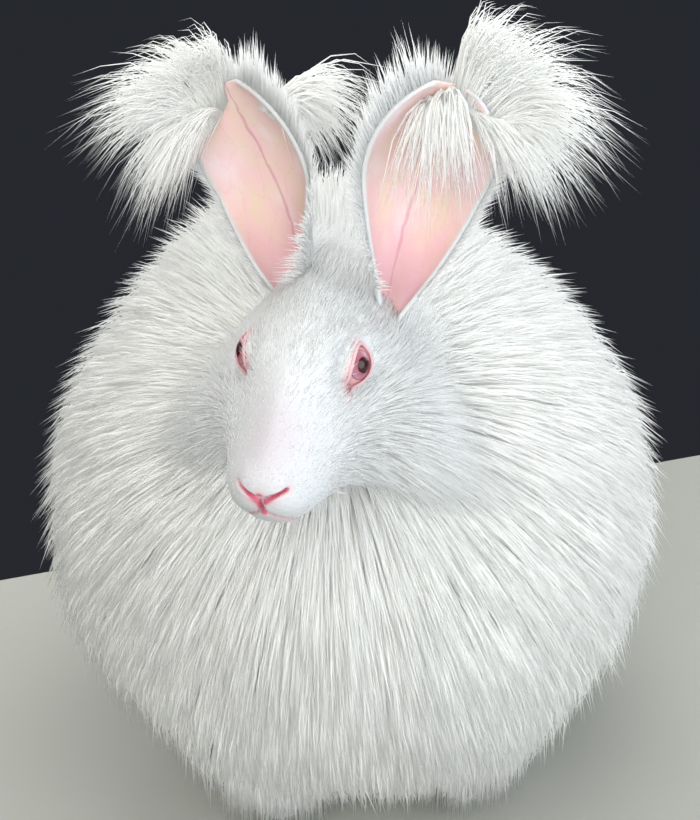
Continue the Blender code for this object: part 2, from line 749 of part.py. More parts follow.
def make_wool(parts):
    """The whole ball of wool with its feet, before it is parted."""
    wool, *lumps_of_core = [
        ellipsoid("wool", centre, semi, parts, 20, 12) for centre, semi in coat_forms(CORE_DEPTH)
    ]
    core = new_collection("core")
    for lump in lumps_of_core:
        parts.objects.unlink(lump)
        core.objects.link(lump)
    join_all(wool, core)
    flatten_below(wool, CORE_UNDERSIDE_Z)
    add_coat(core)
    for side in ("left", "right"):
        add_fringe("forepaw", FOREPAW_PLACE, side, core)
        add_fringe("hindpaw", HINDPAW_PLACE, side, core)
        make_paw("forepaw", on_side(FOREPAW_PLACE, side), FOREPAW_SEMI, core)
        make_paw("hindpaw", on_side(HINDPAW_PLACE, side), HINDPAW_SEMI, core)
    join_all(wool, core)
    bpy.data.collections.remove(core)
    keep_largest(wool)
    return wool


def add_tail_locks(collection, growth=0.0):
    """The locks that spread from the tail, or a grown copy of them to cut the torso with."""
    for i in range(TAIL_LOCKS):
        first, last = TAIL_FAN
        angle = math.radians(first + (last - first) * i / (TAIL_LOCKS - 1))
        spread = Vector((math.sin(angle), TAIL_BACK, math.cos(angle)))
        reach = Vector([spread[axis] * (TAIL_REACH[axis] + growth) for axis in range(3)])
        root, bend, tip = [TAIL_PLACE + reach * share for share in TAIL_PATH]
        bend, tip = bend + TAIL_LIFT, tip + TAIL_DROOP
        width, thickness = TAIL_WIDTH + 2 * growth, TAIL_THICKNESS + 2 * growth
        add_lock(root, bend, tip, width, thickness, Vector((0, 1, 0)), collection)


def make_tail(parts, cutters):
    """A short puff of wool, and the grown copy of it that the torso is cut with."""
    tail = ellipsoid("tail", TAIL_PLACE, TAIL_SEMI, parts, 14, 8)
    clearance = grown_copy(tail, SMOOTH_GAP, cutters)
    locks, grown_locks = new_collection("tail_locks"), new_collection("grown_locks")
    add_tail_locks(locks)
    add_tail_locks(grown_locks, LOCK_GAP)
    join_all(tail, locks)
    join_all(clearance, grown_locks)
    bpy.data.collections.remove(locks)
    bpy.data.collections.remove(grown_locks)
    keep_largest(tail)
    return tail, clearance


def copy_of(obj, name, collection):
    copy = obj.copy()
    copy.data = obj.data.copy()
    copy.name = name
    collection.objects.link(copy)
    return copy


def region_boxes(half_gap):
    """The boxes that hold the neck and the legs, each shrunk by half a gap, or grown if it is negative."""
    g = half_gap
    boxes = {"neck": ((-FAR, -FAR, FORELEG_CUT_Z + g), (FAR, FRONT_CUT_Y - g, FAR))}
    for side, sign in (("left", 1), ("right", -1)):
        inner, outer = sorted((sign * g, sign * FAR))
        boxes["foreleg_" + side] = ((inner, -FAR, -FAR), (outer, FRONT_CUT_Y - g, FORELEG_CUT_Z - g))
        inner, outer = sorted((sign * (HINDLEG_CUT_X + g), sign * FAR))
        boxes["hindleg_" + side] = (
            (inner, HINDLEG_FRONT_Y + g, -FAR),
            (outer, HINDLEG_BACK_Y - g, HINDLEG_CUT_Z - g),
        )
    return boxes


def part_wool(wool, parts, cutters):
    """Parts the ball of wool into neck, legs and torso, with a thin gap between them."""
    nodes = []
    for name, (low, high) in region_boxes(GAP / 2).items():
        node = copy_of(wool, name, parts)
        cutter = box("region", low, high, cutters)
        boolean(node, cutter, "INTERSECT", "MANIFOLD")
        remove_object(cutter)
        nodes.append(node)
    torso = copy_of(wool, "torso", parts)
    front = box("front", (-FAR, -FAR, -FAR), (FAR, FRONT_CUT_Y + GAP / 2, FAR), cutters)
    boolean(torso, front, "DIFFERENCE", "MANIFOLD")
    remove_object(front)
    for name, (low, high) in region_boxes(-GAP / 2).items():
        if name.startswith("hindleg"):
            cutter = box("region", low, high, cutters)
            boolean(torso, cutter, "DIFFERENCE", "MANIFOLD")
            remove_object(cutter)
    nodes.append(torso)
    remove_object(wool)
    for node in nodes:
        keep_largest(node)
    return nodes


def centre_on_floor(parts):
    """Moves every solid so that the middle of the whole box is over the origin, at the floor."""
    places = [vert.co for obj in parts.objects for vert in obj.data.vertices]
    low = [min(place[axis] for place in places) for axis in range(3)]
    high = [max(place[axis] for place in places) for axis in range(3)]
    move = Vector((-(low[0] + high[0]) / 2, -(low[1] + high[1]) / 2, -low[2]))
    for obj in parts.objects:
        obj.data.transform(Matrix.Translation(move))


def make_rabbit():
    clear_scene()
    parts = new_collection("angora_rabbit")
    cutters = new_collection("cutters")
    wool_material = new_material("wool", WOOL_COLOUR, 0.95)
    face_material = new_material("short_fur", FACE_COLOUR, 0.90)
    ear_material = new_material("ear_skin", EAR_COLOUR, 0.60)
    eye_material = new_material("eye", EYE_COLOUR, 0.08)

    head, head_clearance = make_head(parts, cutters)
    head.data.materials.append(face_material)
    for side in ("left", "right"):
        make_eye(side, parts).data.materials.append(eye_material)

    wool = make_wool(parts)
    boolean(wool, head_clearance, "DIFFERENCE", "MANIFOLD")
    tail, tail_clearance = make_tail(parts, cutters)
    boolean(wool, tail_clearance, "DIFFERENCE", "MANIFOLD")
    tail.data.materials.append(wool_material)
    for side in ("left", "right"):
        ear = make_ear(side, parts)
        boolean(ear, head_clearance, "DIFFERENCE", "MANIFOLD")
        keep_largest(ear)
        boolean(wool, grown_copy(ear, SMOOTH_GAP, cutters), "DIFFERENCE", "MANIFOLD")
        plume = new_collection("plume")
        add_plume(side, plume)
        join_all(ear, plume)
        bpy.data.collections.remove(plume)
        keep_largest(ear)
        ear.data.materials.clear()
        ear.data.materials.append(ear_material)
    for node in part_wool(wool, parts, cutters):
        node.data.materials.clear()
        node.data.materials.append(wool_material)
    for cutter in list(cutters.objects):
        remove_object(cutter)
    centre_on_floor(parts)


make_rabbit()
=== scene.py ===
import json
import math
import bmesh
import bpy
import numpy as np
from mathutils import Matrix, Vector
from mathutils.bvhtree import BVHTree
from mathutils.kdtree import KDTree

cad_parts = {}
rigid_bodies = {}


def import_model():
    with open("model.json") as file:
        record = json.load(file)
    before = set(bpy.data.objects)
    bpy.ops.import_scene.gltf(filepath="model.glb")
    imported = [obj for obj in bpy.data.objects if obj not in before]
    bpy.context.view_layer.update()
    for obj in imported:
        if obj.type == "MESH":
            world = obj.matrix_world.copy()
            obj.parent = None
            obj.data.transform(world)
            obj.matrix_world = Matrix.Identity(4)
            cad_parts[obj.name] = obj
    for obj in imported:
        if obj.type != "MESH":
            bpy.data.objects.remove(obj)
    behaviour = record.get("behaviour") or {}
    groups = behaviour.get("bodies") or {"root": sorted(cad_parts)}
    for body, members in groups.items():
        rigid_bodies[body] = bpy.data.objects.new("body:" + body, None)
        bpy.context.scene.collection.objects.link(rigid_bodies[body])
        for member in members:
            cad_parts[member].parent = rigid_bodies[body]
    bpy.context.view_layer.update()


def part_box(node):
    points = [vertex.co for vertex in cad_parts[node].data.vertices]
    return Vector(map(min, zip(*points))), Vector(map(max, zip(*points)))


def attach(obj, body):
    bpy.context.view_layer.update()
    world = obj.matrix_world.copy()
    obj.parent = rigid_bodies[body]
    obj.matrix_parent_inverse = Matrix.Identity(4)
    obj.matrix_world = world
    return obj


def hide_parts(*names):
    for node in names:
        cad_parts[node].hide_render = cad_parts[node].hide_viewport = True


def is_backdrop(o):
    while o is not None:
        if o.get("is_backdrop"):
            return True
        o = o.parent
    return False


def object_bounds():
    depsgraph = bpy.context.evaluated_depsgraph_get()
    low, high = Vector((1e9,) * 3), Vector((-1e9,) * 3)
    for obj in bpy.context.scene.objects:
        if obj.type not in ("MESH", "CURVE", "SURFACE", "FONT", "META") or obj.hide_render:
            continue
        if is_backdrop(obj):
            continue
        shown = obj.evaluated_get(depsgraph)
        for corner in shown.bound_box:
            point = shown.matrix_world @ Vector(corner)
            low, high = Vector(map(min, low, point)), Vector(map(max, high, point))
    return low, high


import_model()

# The rabbit faces -Y, its left side is +X and +Z is up. All sizes are in metres.
sides = {"left": 1, "right": -1}

# The ball of wool: middles and half sizes of its round forms, out to the tips
wool = {
    "ballCentre": (0.0, 0.0, 0.132), "ballHalf": (0.151, 0.169, 0.142),
    "humpCentre": (-0.008, 0.012, 0.190), "humpHalf": (0.105, 0.112, 0.100),
    "lobeCentre": (0.048, -0.070, 0.058), "lobeHalf": (0.044, 0.046, 0.055),
    "lobeShare": 0.6,        # how much of a depth the lobes over the forelegs take
    "blend": 36,             # higher makes the creases between the forms sharper
    "coreDepth": 0.034,      # how far the woolly core lies under the tips
    "coreFloor": 0.016,      # where the core's underside is
    "tipDepth": 0.0035,      # how far most tips stay under the longest
    "relief": 0.0030,        # how far the coat's surface swells and sinks
    "flow": 0.80,            # how much the wool is combed away from the head
    "droop": 0.55,           # and how much it hangs
    "slide": 0.050,          # how far a lock leans over before its tip
    "outward": 0.150,        # against how far it stands out
}

head = {
    "centre": (-0.034, -0.128, 0.255), "turn": 23.0, "dip": 6.0, "tilt": -1.0,
    # sections from nape to nose: forward, top, bottom and half width
    "sections": (
        (-0.062, 0.006, -0.018, 0.014), (-0.051, 0.022, -0.030, 0.027), (-0.034, 0.033, -0.037, 0.035),
        (-0.014, 0.037, -0.039, 0.038), (0.006, 0.035, -0.038, 0.035), (0.021, 0.029, -0.036, 0.029),
        (0.035, 0.020, -0.034, 0.023), (0.047, 0.011, -0.032, 0.0185), (0.057, 0.001, -0.027, 0.0145),
        (0.062, -0.006, -0.017, 0.008),
    ),
    "widest": 0.40, "roundAbove": 1.30, "roundBelow": 0.85, "sides": 14, "smoothing": 4,
    "keepClear": (0.070, 0.045, 0.044),  # half sizes of the room that the wool leaves for the head
    "furDepth": 0.0016,                  # how far the skin lies under the short fur
    "nose": (0.062, 0, -0.012), "noseReach": 0.013,  # the bare tip of the nose, where the skin isn't sunk
    "neckEnd": (-0.020, 0, -0.008), "neckRadius": 0.031, "neckGrows": 0.02,
    "bridge": (0.045, 0, 0.002), "bridgeReach": (0.026, 0.012, 0.020),  # the pinker fur down the face, also darkened as painted shade against the strong light there
}

# Swells and hollows of the face on the left side: place on the head, reach and height
faceForms = (
    ((0.046, 0.013, -0.018), 0.012, 0.0022), ((-0.012, 0.034, -0.016), 0.022, 0.0026),
    ((0.006, 0.024, 0.026), 0.010, 0.0010), ((0.024, 0.021, 0.008), 0.012, -0.0016),
    ((0.006, 0.030, 0.014), 0.012, -0.0032), ((0.014, 0.015, 0.022), 0.010, 0.0030),
    ((0.046, 0.000, -0.033), 0.011, 0.0016), ((0.058, 0.000, -0.008), 0.008, 0.0008),
    ((0.0585, 0.0058, -0.0060), 0.0042, 0.0009), ((0.0560, 0.0068, -0.0150), 0.0056, 0.0013),
)

# Thin slits of the nose and mouth on the left side, as lines on the head
slits = {
    "nostril": {"line": ((0.0640, 0.0002, -0.0125), (0.0620, 0.0042, -0.0108), (0.0590, 0.0082, -0.0092)),
                "width": 0.00085, "depth": 0.0026, "colour": 1.0},
    "philtrum": {"line": ((0.0640, 0.0, -0.0120), (0.0625, 0.0, -0.0150), (0.0605, 0.0003, -0.0200)),
                 "width": 0.0009, "depth": 0.0022, "colour": 1.0},
    "lip": {"line": ((0.0605, 0.0003, -0.0190), (0.0585, 0.0040, -0.0225), (0.0530, 0.0095, -0.0262),
                     (0.0450, 0.0150, -0.0278), (0.0360, 0.0200, -0.0262)),
            "width": 0.0011, "depth": 0.0016, "colour": 0.35},
}

eye = {
    "solid": (0.006, 0.0200, 0.0120),  # the middle of the left solid
    "place": (0.0060, 0.0172, 0.0132), "radius": 0.0085, "looks": (0.42, 0.85, 0.32), "slant": 42.0,
    "irisRadius": 0.0062, "pupilRadius": 0.0030, "cornea": 0.0008,
    "openLong": 0.0080, "openWide": 0.0050,  # half the length and width of the opening
    "cornerLong": 0.0038, "cornerSpread": 0.40,  # its front corner, which is drawn out
    "lid": 0.0008, "rim": 0.00065, "rimFlat": 0.8, "hollow": 0.0035,
}

ear = {
    "place": {"left": (-0.038, 0.0261, 0.0308), "right": (-0.0406, 0.0183, 0.0263)},
    "direction": {"left": (-0.207, 0.203, 0.93), "right": (-0.165, 0.359, 0.91)},
    "opens": {"left": 23.0, "right": 17.0}, "sunk": 0.020, "length": 0.097, "halfWidth": 0.0273,
    "baseShare": 0.05, "swellFirst": 0.061, "swellSpan": 0.543, "swellPower": 1.5,  # how its width grows
    "closes": 0.45, "closePower": 2.6, "lastRise": 0.985,  # where and how fast its tip closes
    "wrapBase": 2.30, "wrapOpens": 1.45, "openFrom": 0.55,  # how far round the cup its wall goes, in radians
    "wall": 0.0017, "bend": 0.010, "rows": 48, "columns": 36,
}

# The fans of long wool on the tip of each ear: first and last angle, where 0 is outward and 90 is up, first
# and last length, how far it leans forward, and its tufts
plume = {
    "left": ((76, -14, 0.034, 0.052, 0.004, 1050), (26, -60, 0.050, 0.044, 0.010, 950),
             (-78, -112, 0.038, 0.046, 0.018, 260)),
    "right": ((72, -14, 0.026, 0.053, 0.002, 1050), (26, -58, 0.050, 0.046, 0.006, 950),
              (150, 225, 0.042, 0.034, 0.008, 420)),
    "arch": 0.016, "rootRise": 0.955, "rootDrop": 0.17, "rootAcross": 0.75,
}


# Places and forms

def row(*values):
    return np.array(values, float)


def unit(vectors):
    return vectors / np.maximum(np.linalg.norm(vectors, axis=-1, keepdims=True), 1e-9)


def ease(low, high, values):  # a smooth step from 0 at low to 1 at high
    share = np.clip((values - low) / (high - low), 0, 1)
    return share * share * (3 - 2 * share)


def near(places, place, reach):  # 1 at a place, fading to 0 around it
    return np.exp(-np.linalg.norm((places - place) / reach, axis=1) ** 2)


def pairs(firsts, seconds):  # every pair of two lists of numbers, row by row
    first, second = np.meshgrid(firsts, seconds, indexing="ij")
    return first.ravel(), second.ravel()


def evenPatches(rows, columns):  # where the places of a grid lie when it is unwrapped flat
    rise, around = pairs(np.linspace(0.02, 0.98, rows), np.linspace(0.02, 0.98, columns))
    return np.column_stack((around, rise))


def mirror(place, side):  # a place on the head, on its other side
    return row(place[0], place[1] * sides[side], place[2])


def acrossBody(place, side):  # a place on the body, on its other side
    return row(place[0] * sides[side], place[1], place[2])


turned = Matrix.Rotation(-math.radians(head["turn"]), 3, "Z") @ Matrix(((0, 1, 0), (-1, 0, 0), (0, 0, 1)))
turned = turned @ Matrix.Rotation(math.radians(head["dip"]), 3, "Y")
turned = turned @ Matrix.Rotation(math.radians(head["tilt"]), 3, "X")
headAxes = np.array(turned)  # its columns are forward, left and up of the head
headCentre = row(*head["centre"])


def fromHead(places):
    return places @ headAxes.T + headCentre


def toHead(places):
    return (places - headCentre) @ headAxes


low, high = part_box("eye_left")
settle = (row(*low) + row(*high)) / 2 - fromHead(row(*eye["solid"]))  # from the named places to the frame


def woolForms(depth):
    inner = row(depth, depth, depth)
    forms = [(row(*wool["ballCentre"]), row(*wool["ballHalf"]) - inner),
             (row(*wool["humpCentre"]), row(*wool["humpHalf"]) - inner)]
    for side in sides:
        lobe = row(*wool["lobeHalf"]) - inner * wool["lobeShare"]
        forms.append((acrossBody(wool["lobeCentre"], side), lobe))
    return forms


def woolReach(directions, depth):  # from the ball's middle out to a depth under the tips of the coat
    ball = row(*wool["ballCentre"])
    total = np.zeros(len(directions))
    for centre, half in woolForms(depth):
        start, step = (ball - centre) / half, directions / half
        square, along, rest = (step ** 2).sum(1), step @ start, start @ start - 1
        inside = along ** 2 - square * rest
        exits = (np.sqrt(np.maximum(inside, 0)) - along) / square
        total += np.where((inside > 0) & (exits > 0), np.maximum(exits, 0), 0) ** wool["blend"]
    return total ** (1 / wool["blend"])


def swell(directions):  # a soft, uneven relief between -1 and 1
    x, y, z = (directions * 9).T
    waves = (x * 1.3 + 2 * np.sin(y), y * 1.7 - 1.4 * z + 1, z * 2.1 + x * 0.9 + 2)
    return sum(np.sin(wave) for wave in waves) / 3


def clearOfHead(places):  # moves places out of the room that the head takes
    keep = row(*head["keepClear"])
    scaled = toHead(places) / keep
    size = np.linalg.norm(scaled, axis=1, keepdims=True)
    return np.where(size < 1, fromHead(scaled / np.maximum(size, 1e-6) * keep), places)


# Meshes and pieces

def newMesh(name, places, faces):
    mesh = bpy.data.meshes.new(name)
    mesh.from_pydata([tuple(place) for place in places], [], faces)
    mesh.update()
    return mesh


def link(name, mesh):
    made = bpy.data.objects.new(name, mesh)
    bpy.context.scene.collection.objects.link(made)
    return made


def settled(mesh):  # takes a finished mesh from the named places to the frame
    mesh.transform(Matrix.Translation(settle))
    return mesh


def evaluatedMesh(made):  # the plain mesh that an object's modifiers give
    return bpy.data.meshes.new_from_object(made.evaluated_get(bpy.context.evaluated_depsgraph_get()))


def modified(mesh, kind, settings):  # the plain mesh that one modifier makes of a mesh
    holder = link(mesh.name, mesh)
    modifier = holder.modifiers.new("shape", kind)
    for name, value in settings.items():
        setattr(modifier, name, value)
    made = evaluatedMesh(holder)
    bpy.data.objects.remove(holder)
    return made


def shadeSmooth(mesh, finish):
    mesh.materials.clear()
    mesh.materials.append(finish)
    mesh.polygons.foreach_set("use_smooth", [True] * len(mesh.polygons))


def gridFaces(rows, columns, closed=False):
    width = columns if closed else columns - 1
    return [(i * columns + j, i * columns + (j + 1) % columns, (i + 1) * columns + (j + 1) % columns,
             (i + 1) * columns + j) for i in range(rows - 1) for j in range(width)]


def meshPlaces(mesh):
    places = np.empty(len(mesh.vertices) * 3, np.float32)
    mesh.vertices.foreach_get("co", places)
    return places.reshape(-1, 3).astype(float)


def meshNormals(mesh):
    normals = np.empty(len(mesh.vertices) * 3, np.float32)
    mesh.vertices.foreach_get("normal", normals)
    return normals.reshape(-1, 3).astype(float)


def setPlaces(mesh, places):
    mesh.vertices.foreach_set("co", np.ascontiguousarray(places, np.float32).ravel())
    mesh.update()


def addMark(mesh, name, values):  # a number or a vector for each vertex
    vector = np.ndim(values) == 2
    mark = mesh.attributes.new(name, "FLOAT_VECTOR" if vector else "FLOAT", "POINT")
    mark.data.foreach_set("vector" if vector else "value", np.ascontiguousarray(values, np.float32).ravel())


def lineDistance(places, line):  # how far places are from a line through points
    nearest = np.full(len(places), 1e9)
    for start, end in zip(line, line[1:]):
        start, end = row(*start), row(*end)
        span = end - start
        share = np.clip((places - start) @ span / (span @ span), 0, 1)
        nearest = np.minimum(nearest, np.linalg.norm(places - start - share[:, None] * span, axis=1))
    return nearest


# Nodes: expressions on sockets add their Math nodes

class Wire:
    def __init__(self, bench, socket):
        self.bench, self.socket = bench, socket

    def out(self, name):
        return Wire(self.bench, self.socket.node.outputs[name])

    def __add__(self, other):
        return self.bench.maths("ADD", self, other)

    def __radd__(self, other):
        return self.bench.maths("ADD", other, self)

    def __sub__(self, other):
        return self.bench.maths("SUBTRACT", self, other)

    def __rsub__(self, other):
        return self.bench.maths("SUBTRACT", other, self)

    def __mul__(self, other):
        return self.bench.maths("MULTIPLY", self, other)

    def __rmul__(self, other):
        return self.bench.maths("MULTIPLY", other, self)

    def __pow__(self, other):
        return self.bench.maths("POWER", self, other)


class Bench:  # lays out the nodes of one tree
    def __init__(self, tree):
        self.tree = tree

    def node(self, kind, settings=None, inputs=None, out=0):
        made = self.tree.nodes.new(kind)
        for name, value in (settings or {}).items():
            setattr(made, name, value)
        for name, value in (inputs or {}).items():
            if isinstance(value, Wire):
                self.tree.links.new(value.socket, made.inputs[name])
            elif value is not None:
                made.inputs[name].default_value = value
        made.location = (len(self.tree.nodes) % 12 * 190, -(len(self.tree.nodes) // 12) * 260)
        return Wire(self, made.outputs[out]) if len(made.outputs) else None

    def maths(self, operation, first, second=None):
        def isVector(value):
            return isinstance(value, tuple) or isinstance(value, Wire) and value.socket.type == "VECTOR"
        if not isVector(first) and not isVector(second):
            return self.node("ShaderNodeMath", {"operation": operation}, {0: first, 1: second})
        if operation == "MULTIPLY" and not (isVector(first) and isVector(second)):
            first, second = (first, second) if isVector(first) else (second, first)
            return self.node("ShaderNodeVectorMath", {"operation": "SCALE"}, {0: first, "Scale": second})
        out = "Value" if operation in ("DOT_PRODUCT", "LENGTH") else "Vector"
        return self.node("ShaderNodeVectorMath", {"operation": operation}, {0: first, 1: second}, out)

    def noise(self, coords, scale, detail=2.0, roughness=0.5):
        return self.node("ShaderNodeTexNoise", {},
                         {"Vector": coords, "Scale": scale, "Detail": detail, "Roughness": roughness})

    def blend(self, factor, first, second):  # a mix of two colours
        return self.node("ShaderNodeMix", {"data_type": "RGBA"}, {0: factor, 6: first, 7: second}, 2)

    def between(self, values, low, high):  # 0 below low, 1 above high
        return self.node("ShaderNodeMapRange", {"interpolation_type": "SMOOTHSTEP"},
                         {"Value": values, "From Min": low, "From Max": high})

    def mark(self, name):
        return self.node("ShaderNodeAttribute", {"attribute_name": name}, {}, "Fac")

    def objectPlace(self):
        return self.node("ShaderNodeTexCoord").out("Object")

    def feed(self, shader, name, value):  # leads a value into a socket of a shader
        self.tree.links.new(value.socket, shader.socket.node.inputs[name])


def rgb(red, green, blue):
    return (red, green, blue, 1.0)


# The tree that grows tufts along the guides of a mesh

tuftInputs = {
    "Tufts per square metre": ("NodeSocketFloat", 200000.0),
    "Clumps per square metre": ("NodeSocketFloat", 9000.0),
    "Clump pull": ("NodeSocketFloat", 0.5), "Width": ("NodeSocketFloat", 0.001),
    "Shortest": ("NodeSocketFloat", 0.85), "Longest": ("NodeSocketFloat", 1.05),
    "Stray": ("NodeSocketFloat", 0.12), "Wave": ("NodeSocketFloat", 0.0), "Waves": ("NodeSocketFloat", 1.5),
    "Segments": ("NodeSocketInt", 4), "Floor": ("NodeSocketFloat", 0.0015), "Seed": ("NodeSocketInt", 1),
    "Finish": ("NodeSocketMaterial", None),
}


def buildTuftTree():
    tree = bpy.data.node_groups.new("tufts along guides", "GeometryNodeTree")
    tree.is_modifier = True
    ids = {}
    tree.interface.new_socket("Geometry", in_out="INPUT", socket_type="NodeSocketGeometry")
    for name, (kind, value) in tuftInputs.items():
        socket = tree.interface.new_socket(name, in_out="INPUT", socket_type=kind)
        if value is not None:
            socket.default_value = value
        ids[name] = socket.identifier
    tree.interface.new_socket("Geometry", in_out="OUTPUT", socket_type="NodeSocketGeometry")
    b = Bench(tree)
    given = b.node("NodeGroupInput")

    def named(name, kind="FLOAT_VECTOR"):
        return b.node("GeometryNodeInputNamedAttribute", {"data_type": kind}, {"Name": name})

    def store(geometry, name, value, kind="FLOAT_VECTOR", domain="POINT"):
        return b.node("GeometryNodeStoreNamedAttribute", {"data_type": kind, "domain": domain},
                      {"Geometry": geometry, "Name": name, "Value": value})

    def draw(low, high, seed):
        return b.node("FunctionNodeRandomValue", {"data_type": "FLOAT"},
                      {2: low, 3: high, "Seed": given.out("Seed") + seed}, 1)

    def drawVector(seed):
        return b.node("FunctionNodeRandomValue", {"data_type": "FLOAT_VECTOR"},
                      {0: (-1, -1, -1), 1: (1, 1, 1), "Seed": given.out("Seed") + seed}, 0)

    def scatter(density, seed):
        return b.node("GeometryNodeDistributePointsOnFaces", {"distribute_method": "RANDOM"},
                      {"Mesh": given, "Density": density, "Seed": given.out("Seed") + seed})

    place = b.node("GeometryNodeInputPosition")
    bendGuide, tipGuide = named("bendGuide"), named("tipGuide")
    tufts = scatter(named("thickness", "FLOAT") * given.out("Tufts per square metre"), 0)
    clumps = scatter(given.out("Clumps per square metre"), 40)

    # each tuft leans towards the tip of the nearest clump
    nearest = b.node("GeometryNodeSampleNearest", {"domain": "POINT"},
                     {"Geometry": clumps, "Sample Position": place})

    def fromClump(value):
        return b.node("GeometryNodeSampleIndex", {"data_type": "FLOAT_VECTOR", "domain": "POINT"},
                      {"Geometry": clumps, "Value": value, "Index": nearest})

    clumpStray = drawVector(41) * b.maths("LENGTH", tipGuide) * given.out("Stray")
    clumpTip = fromClump(place + tipGuide * draw(0.90, 1.04, 42) + clumpStray) - place
    clumpBend = fromClump(place + bendGuide + clumpStray * 0.4) - place
    pull = given.out("Clump pull") * draw(0.35, 1.0, 1)
    size = draw(0.0, 1.0, 2) ** 0.8 * (given.out("Longest") - given.out("Shortest")) + given.out("Shortest")
    tip = (tipGuide + (clumpTip - tipGuide) * pull) * size
    bend = (bendGuide + (clumpBend - bendGuide) * (pull * 0.6)) * size
    stray = drawVector(3) * b.maths("LENGTH", tip) * (given.out("Stray") * 0.6)
    tufts = store(tufts, "tuftRoot", place)
    tufts = store(tufts, "tuftBend", bend + stray * 0.5)
    tufts = store(tufts, "tuftTip", tip + stray)
    tufts = store(tufts, "tuftTurn", drawVector(4))
    width = given.out("Width") * draw(0.6, 1.25, 5) * named("fineness", "FLOAT")
    tufts = store(tufts, "tuftWidth", width, "FLOAT")
    tufts = store(tufts, "tuftTone", draw(0.0, 1.0, 6), "FLOAT")

    hair = b.node("GeometryNodeMeshCone", {"fill_type": "NGON"},
                  {"Vertices": 3, "Side Segments": given.out("Segments"), "Fill Segments": 1,
                   "Radius Top": 0.0, "Radius Bottom": 1.0, "Depth": 1.0})
    hair = store(hair, "tuftLocal", place)
    grown = b.node("GeometryNodeInstanceOnPoints", {}, {"Points": tufts, "Instance": hair})
    grown = b.node("GeometryNodeRealizeInstances", {}, {"Geometry": grown})

    # every ring of a tuft goes to its place on the bent line from root to tip
    local = b.node("ShaderNodeSeparateXYZ", {}, {0: named("tuftLocal")})
    along = local.out("Z")
    bend, tip, width = named("tuftBend"), named("tuftTip"), named("tuftWidth", "FLOAT")
    slope = b.maths("NORMALIZE", bend * (1 - along) + (tip - bend) * along)
    sideways = b.maths("NORMALIZE", b.maths("CROSS_PRODUCT", slope, named("tuftTurn")))
    above = b.maths("CROSS_PRODUCT", sideways, slope)
    middle = bend * (2 * along * (1 - along)) + tip * (along * along)
    turns = along * given.out("Waves") + named("tuftTone", "FLOAT")
    ripple = b.maths("SINE", turns * (2 * math.pi))
    middle = middle + sideways * (ripple * along * given.out("Wave") * b.maths("LENGTH", tip))
    full = width * (1.1 + 0.4 * along)
    onRing = sideways * (local.out("X") * full) + above * (local.out("Y") * full)
    parts = b.node("ShaderNodeSeparateXYZ", {}, {0: named("tuftRoot") + middle + onRing})
    onFloor = b.maths("MAXIMUM", parts.out("Z"), given.out("Floor"))
    grownTo = b.node("ShaderNodeCombineXYZ", {}, {"X": parts, "Y": parts.out("Y"), "Z": onFloor})
    grown = b.node("GeometryNodeSetPosition", {}, {"Geometry": grown, "Position": grownTo})

    # each tuft keeps a small patch of the unwrapped skin
    patch = b.node("ShaderNodeCombineXYZ", {}, {"X": local * 0.0015, "Y": (along - 0.5) * 0.003})
    grown = store(grown, "OFBake", named("patchPlace") + patch, "FLOAT2", "CORNER")
    grown = store(grown, "along", along, "FLOAT")
    for name in ("tuftRoot", "tuftBend", "tuftTip", "tuftTurn", "tuftWidth", "tuftLocal",
                 "bendGuide", "tipGuide", "thickness", "fineness", "patchPlace"):
        grown = b.node("GeometryNodeRemoveAttribute", {}, {"Geometry": grown, "Name": name})
    grown = b.node("GeometryNodeSetShadeSmooth", {}, {"Geometry": grown})
    grown = b.node("GeometryNodeSetMaterial", {}, {"Geometry": grown, "Material": given.out("Finish")})
    b.node("NodeGroupOutput", {}, {0: grown})
    return tree, ids


tuftTree, tuftIds = buildTuftTree()
seeds = iter(range(10, 10000, 100))


def growTufts(name, places, faces, bends, tips, patches, look, finish, thickness=None, fineness=None):
    # places and faces are the skin that carries the tufts, bends and tips how a tuft leaves each place
    count = len(places)
    thickness = np.ones(count) if thickness is None else thickness
    mesh = newMesh(name + "Guides", places + settle, faces)
    addMark(mesh, "bendGuide", bends)
    addMark(mesh, "tipGuide", tips)
    addMark(mesh, "thickness", thickness)
    addMark(mesh, "fineness", np.ones(count) if fineness is None else fineness)
    addMark(mesh, "patchPlace", np.column_stack((patches, np.zeros(count))))
    area = sum(face.area * thickness[list(face.vertices)].mean() for face in mesh.polygons)
    whole = sum(face.area for face in mesh.polygons)
    settings = {"Seed": next(seeds), "Finish": finish, "Tufts per square metre": look["tufts"] / area,
                "Clumps per square metre": look["clumps"] / whole, **look["shape"]}
    holder = link(name + "Guides", mesh)
    grower = holder.modifiers.new("tufts", "NODES")
    grower.node_group = tuftTree
    for label, value in settings.items():
        grower[tuftIds[label]] = value
    grown = evaluatedMesh(holder)
    bpy.data.objects.remove(holder)
    grown.name = name
    piece = link(name, grown)
    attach(piece, "root")
    print(name, len(grown.polygons), "faces")
    return piece


# Finishes

def newFinish(name, look):  # a material with one main shader; look holds what is the same all over
    made = bpy.data.materials.new(name)
    made.use_nodes = True
    made.node_tree.nodes.clear()
    b = Bench(made.node_tree)
    shader = b.node("ShaderNodeBsdfPrincipled", {}, look)
    return made, b, shader


def showShader(b, shader):
    b.node("ShaderNodeOutputMaterial", {}, {"Surface": shader})


# the colours of tip and root, the share of light that goes through, and a faint painted glow that lifts their
# shade
woolLook = {"tip": rgb(0.98, 0.982, 0.975), "root": rgb(0.96, 0.955, 0.93), "through": 0.72, "glow": 0.18}
furLook = {"tip": rgb(0.96, 0.965, 0.965), "root": rgb(0.94, 0.94, 0.94), "through": 0.68, "glow": 0.15}


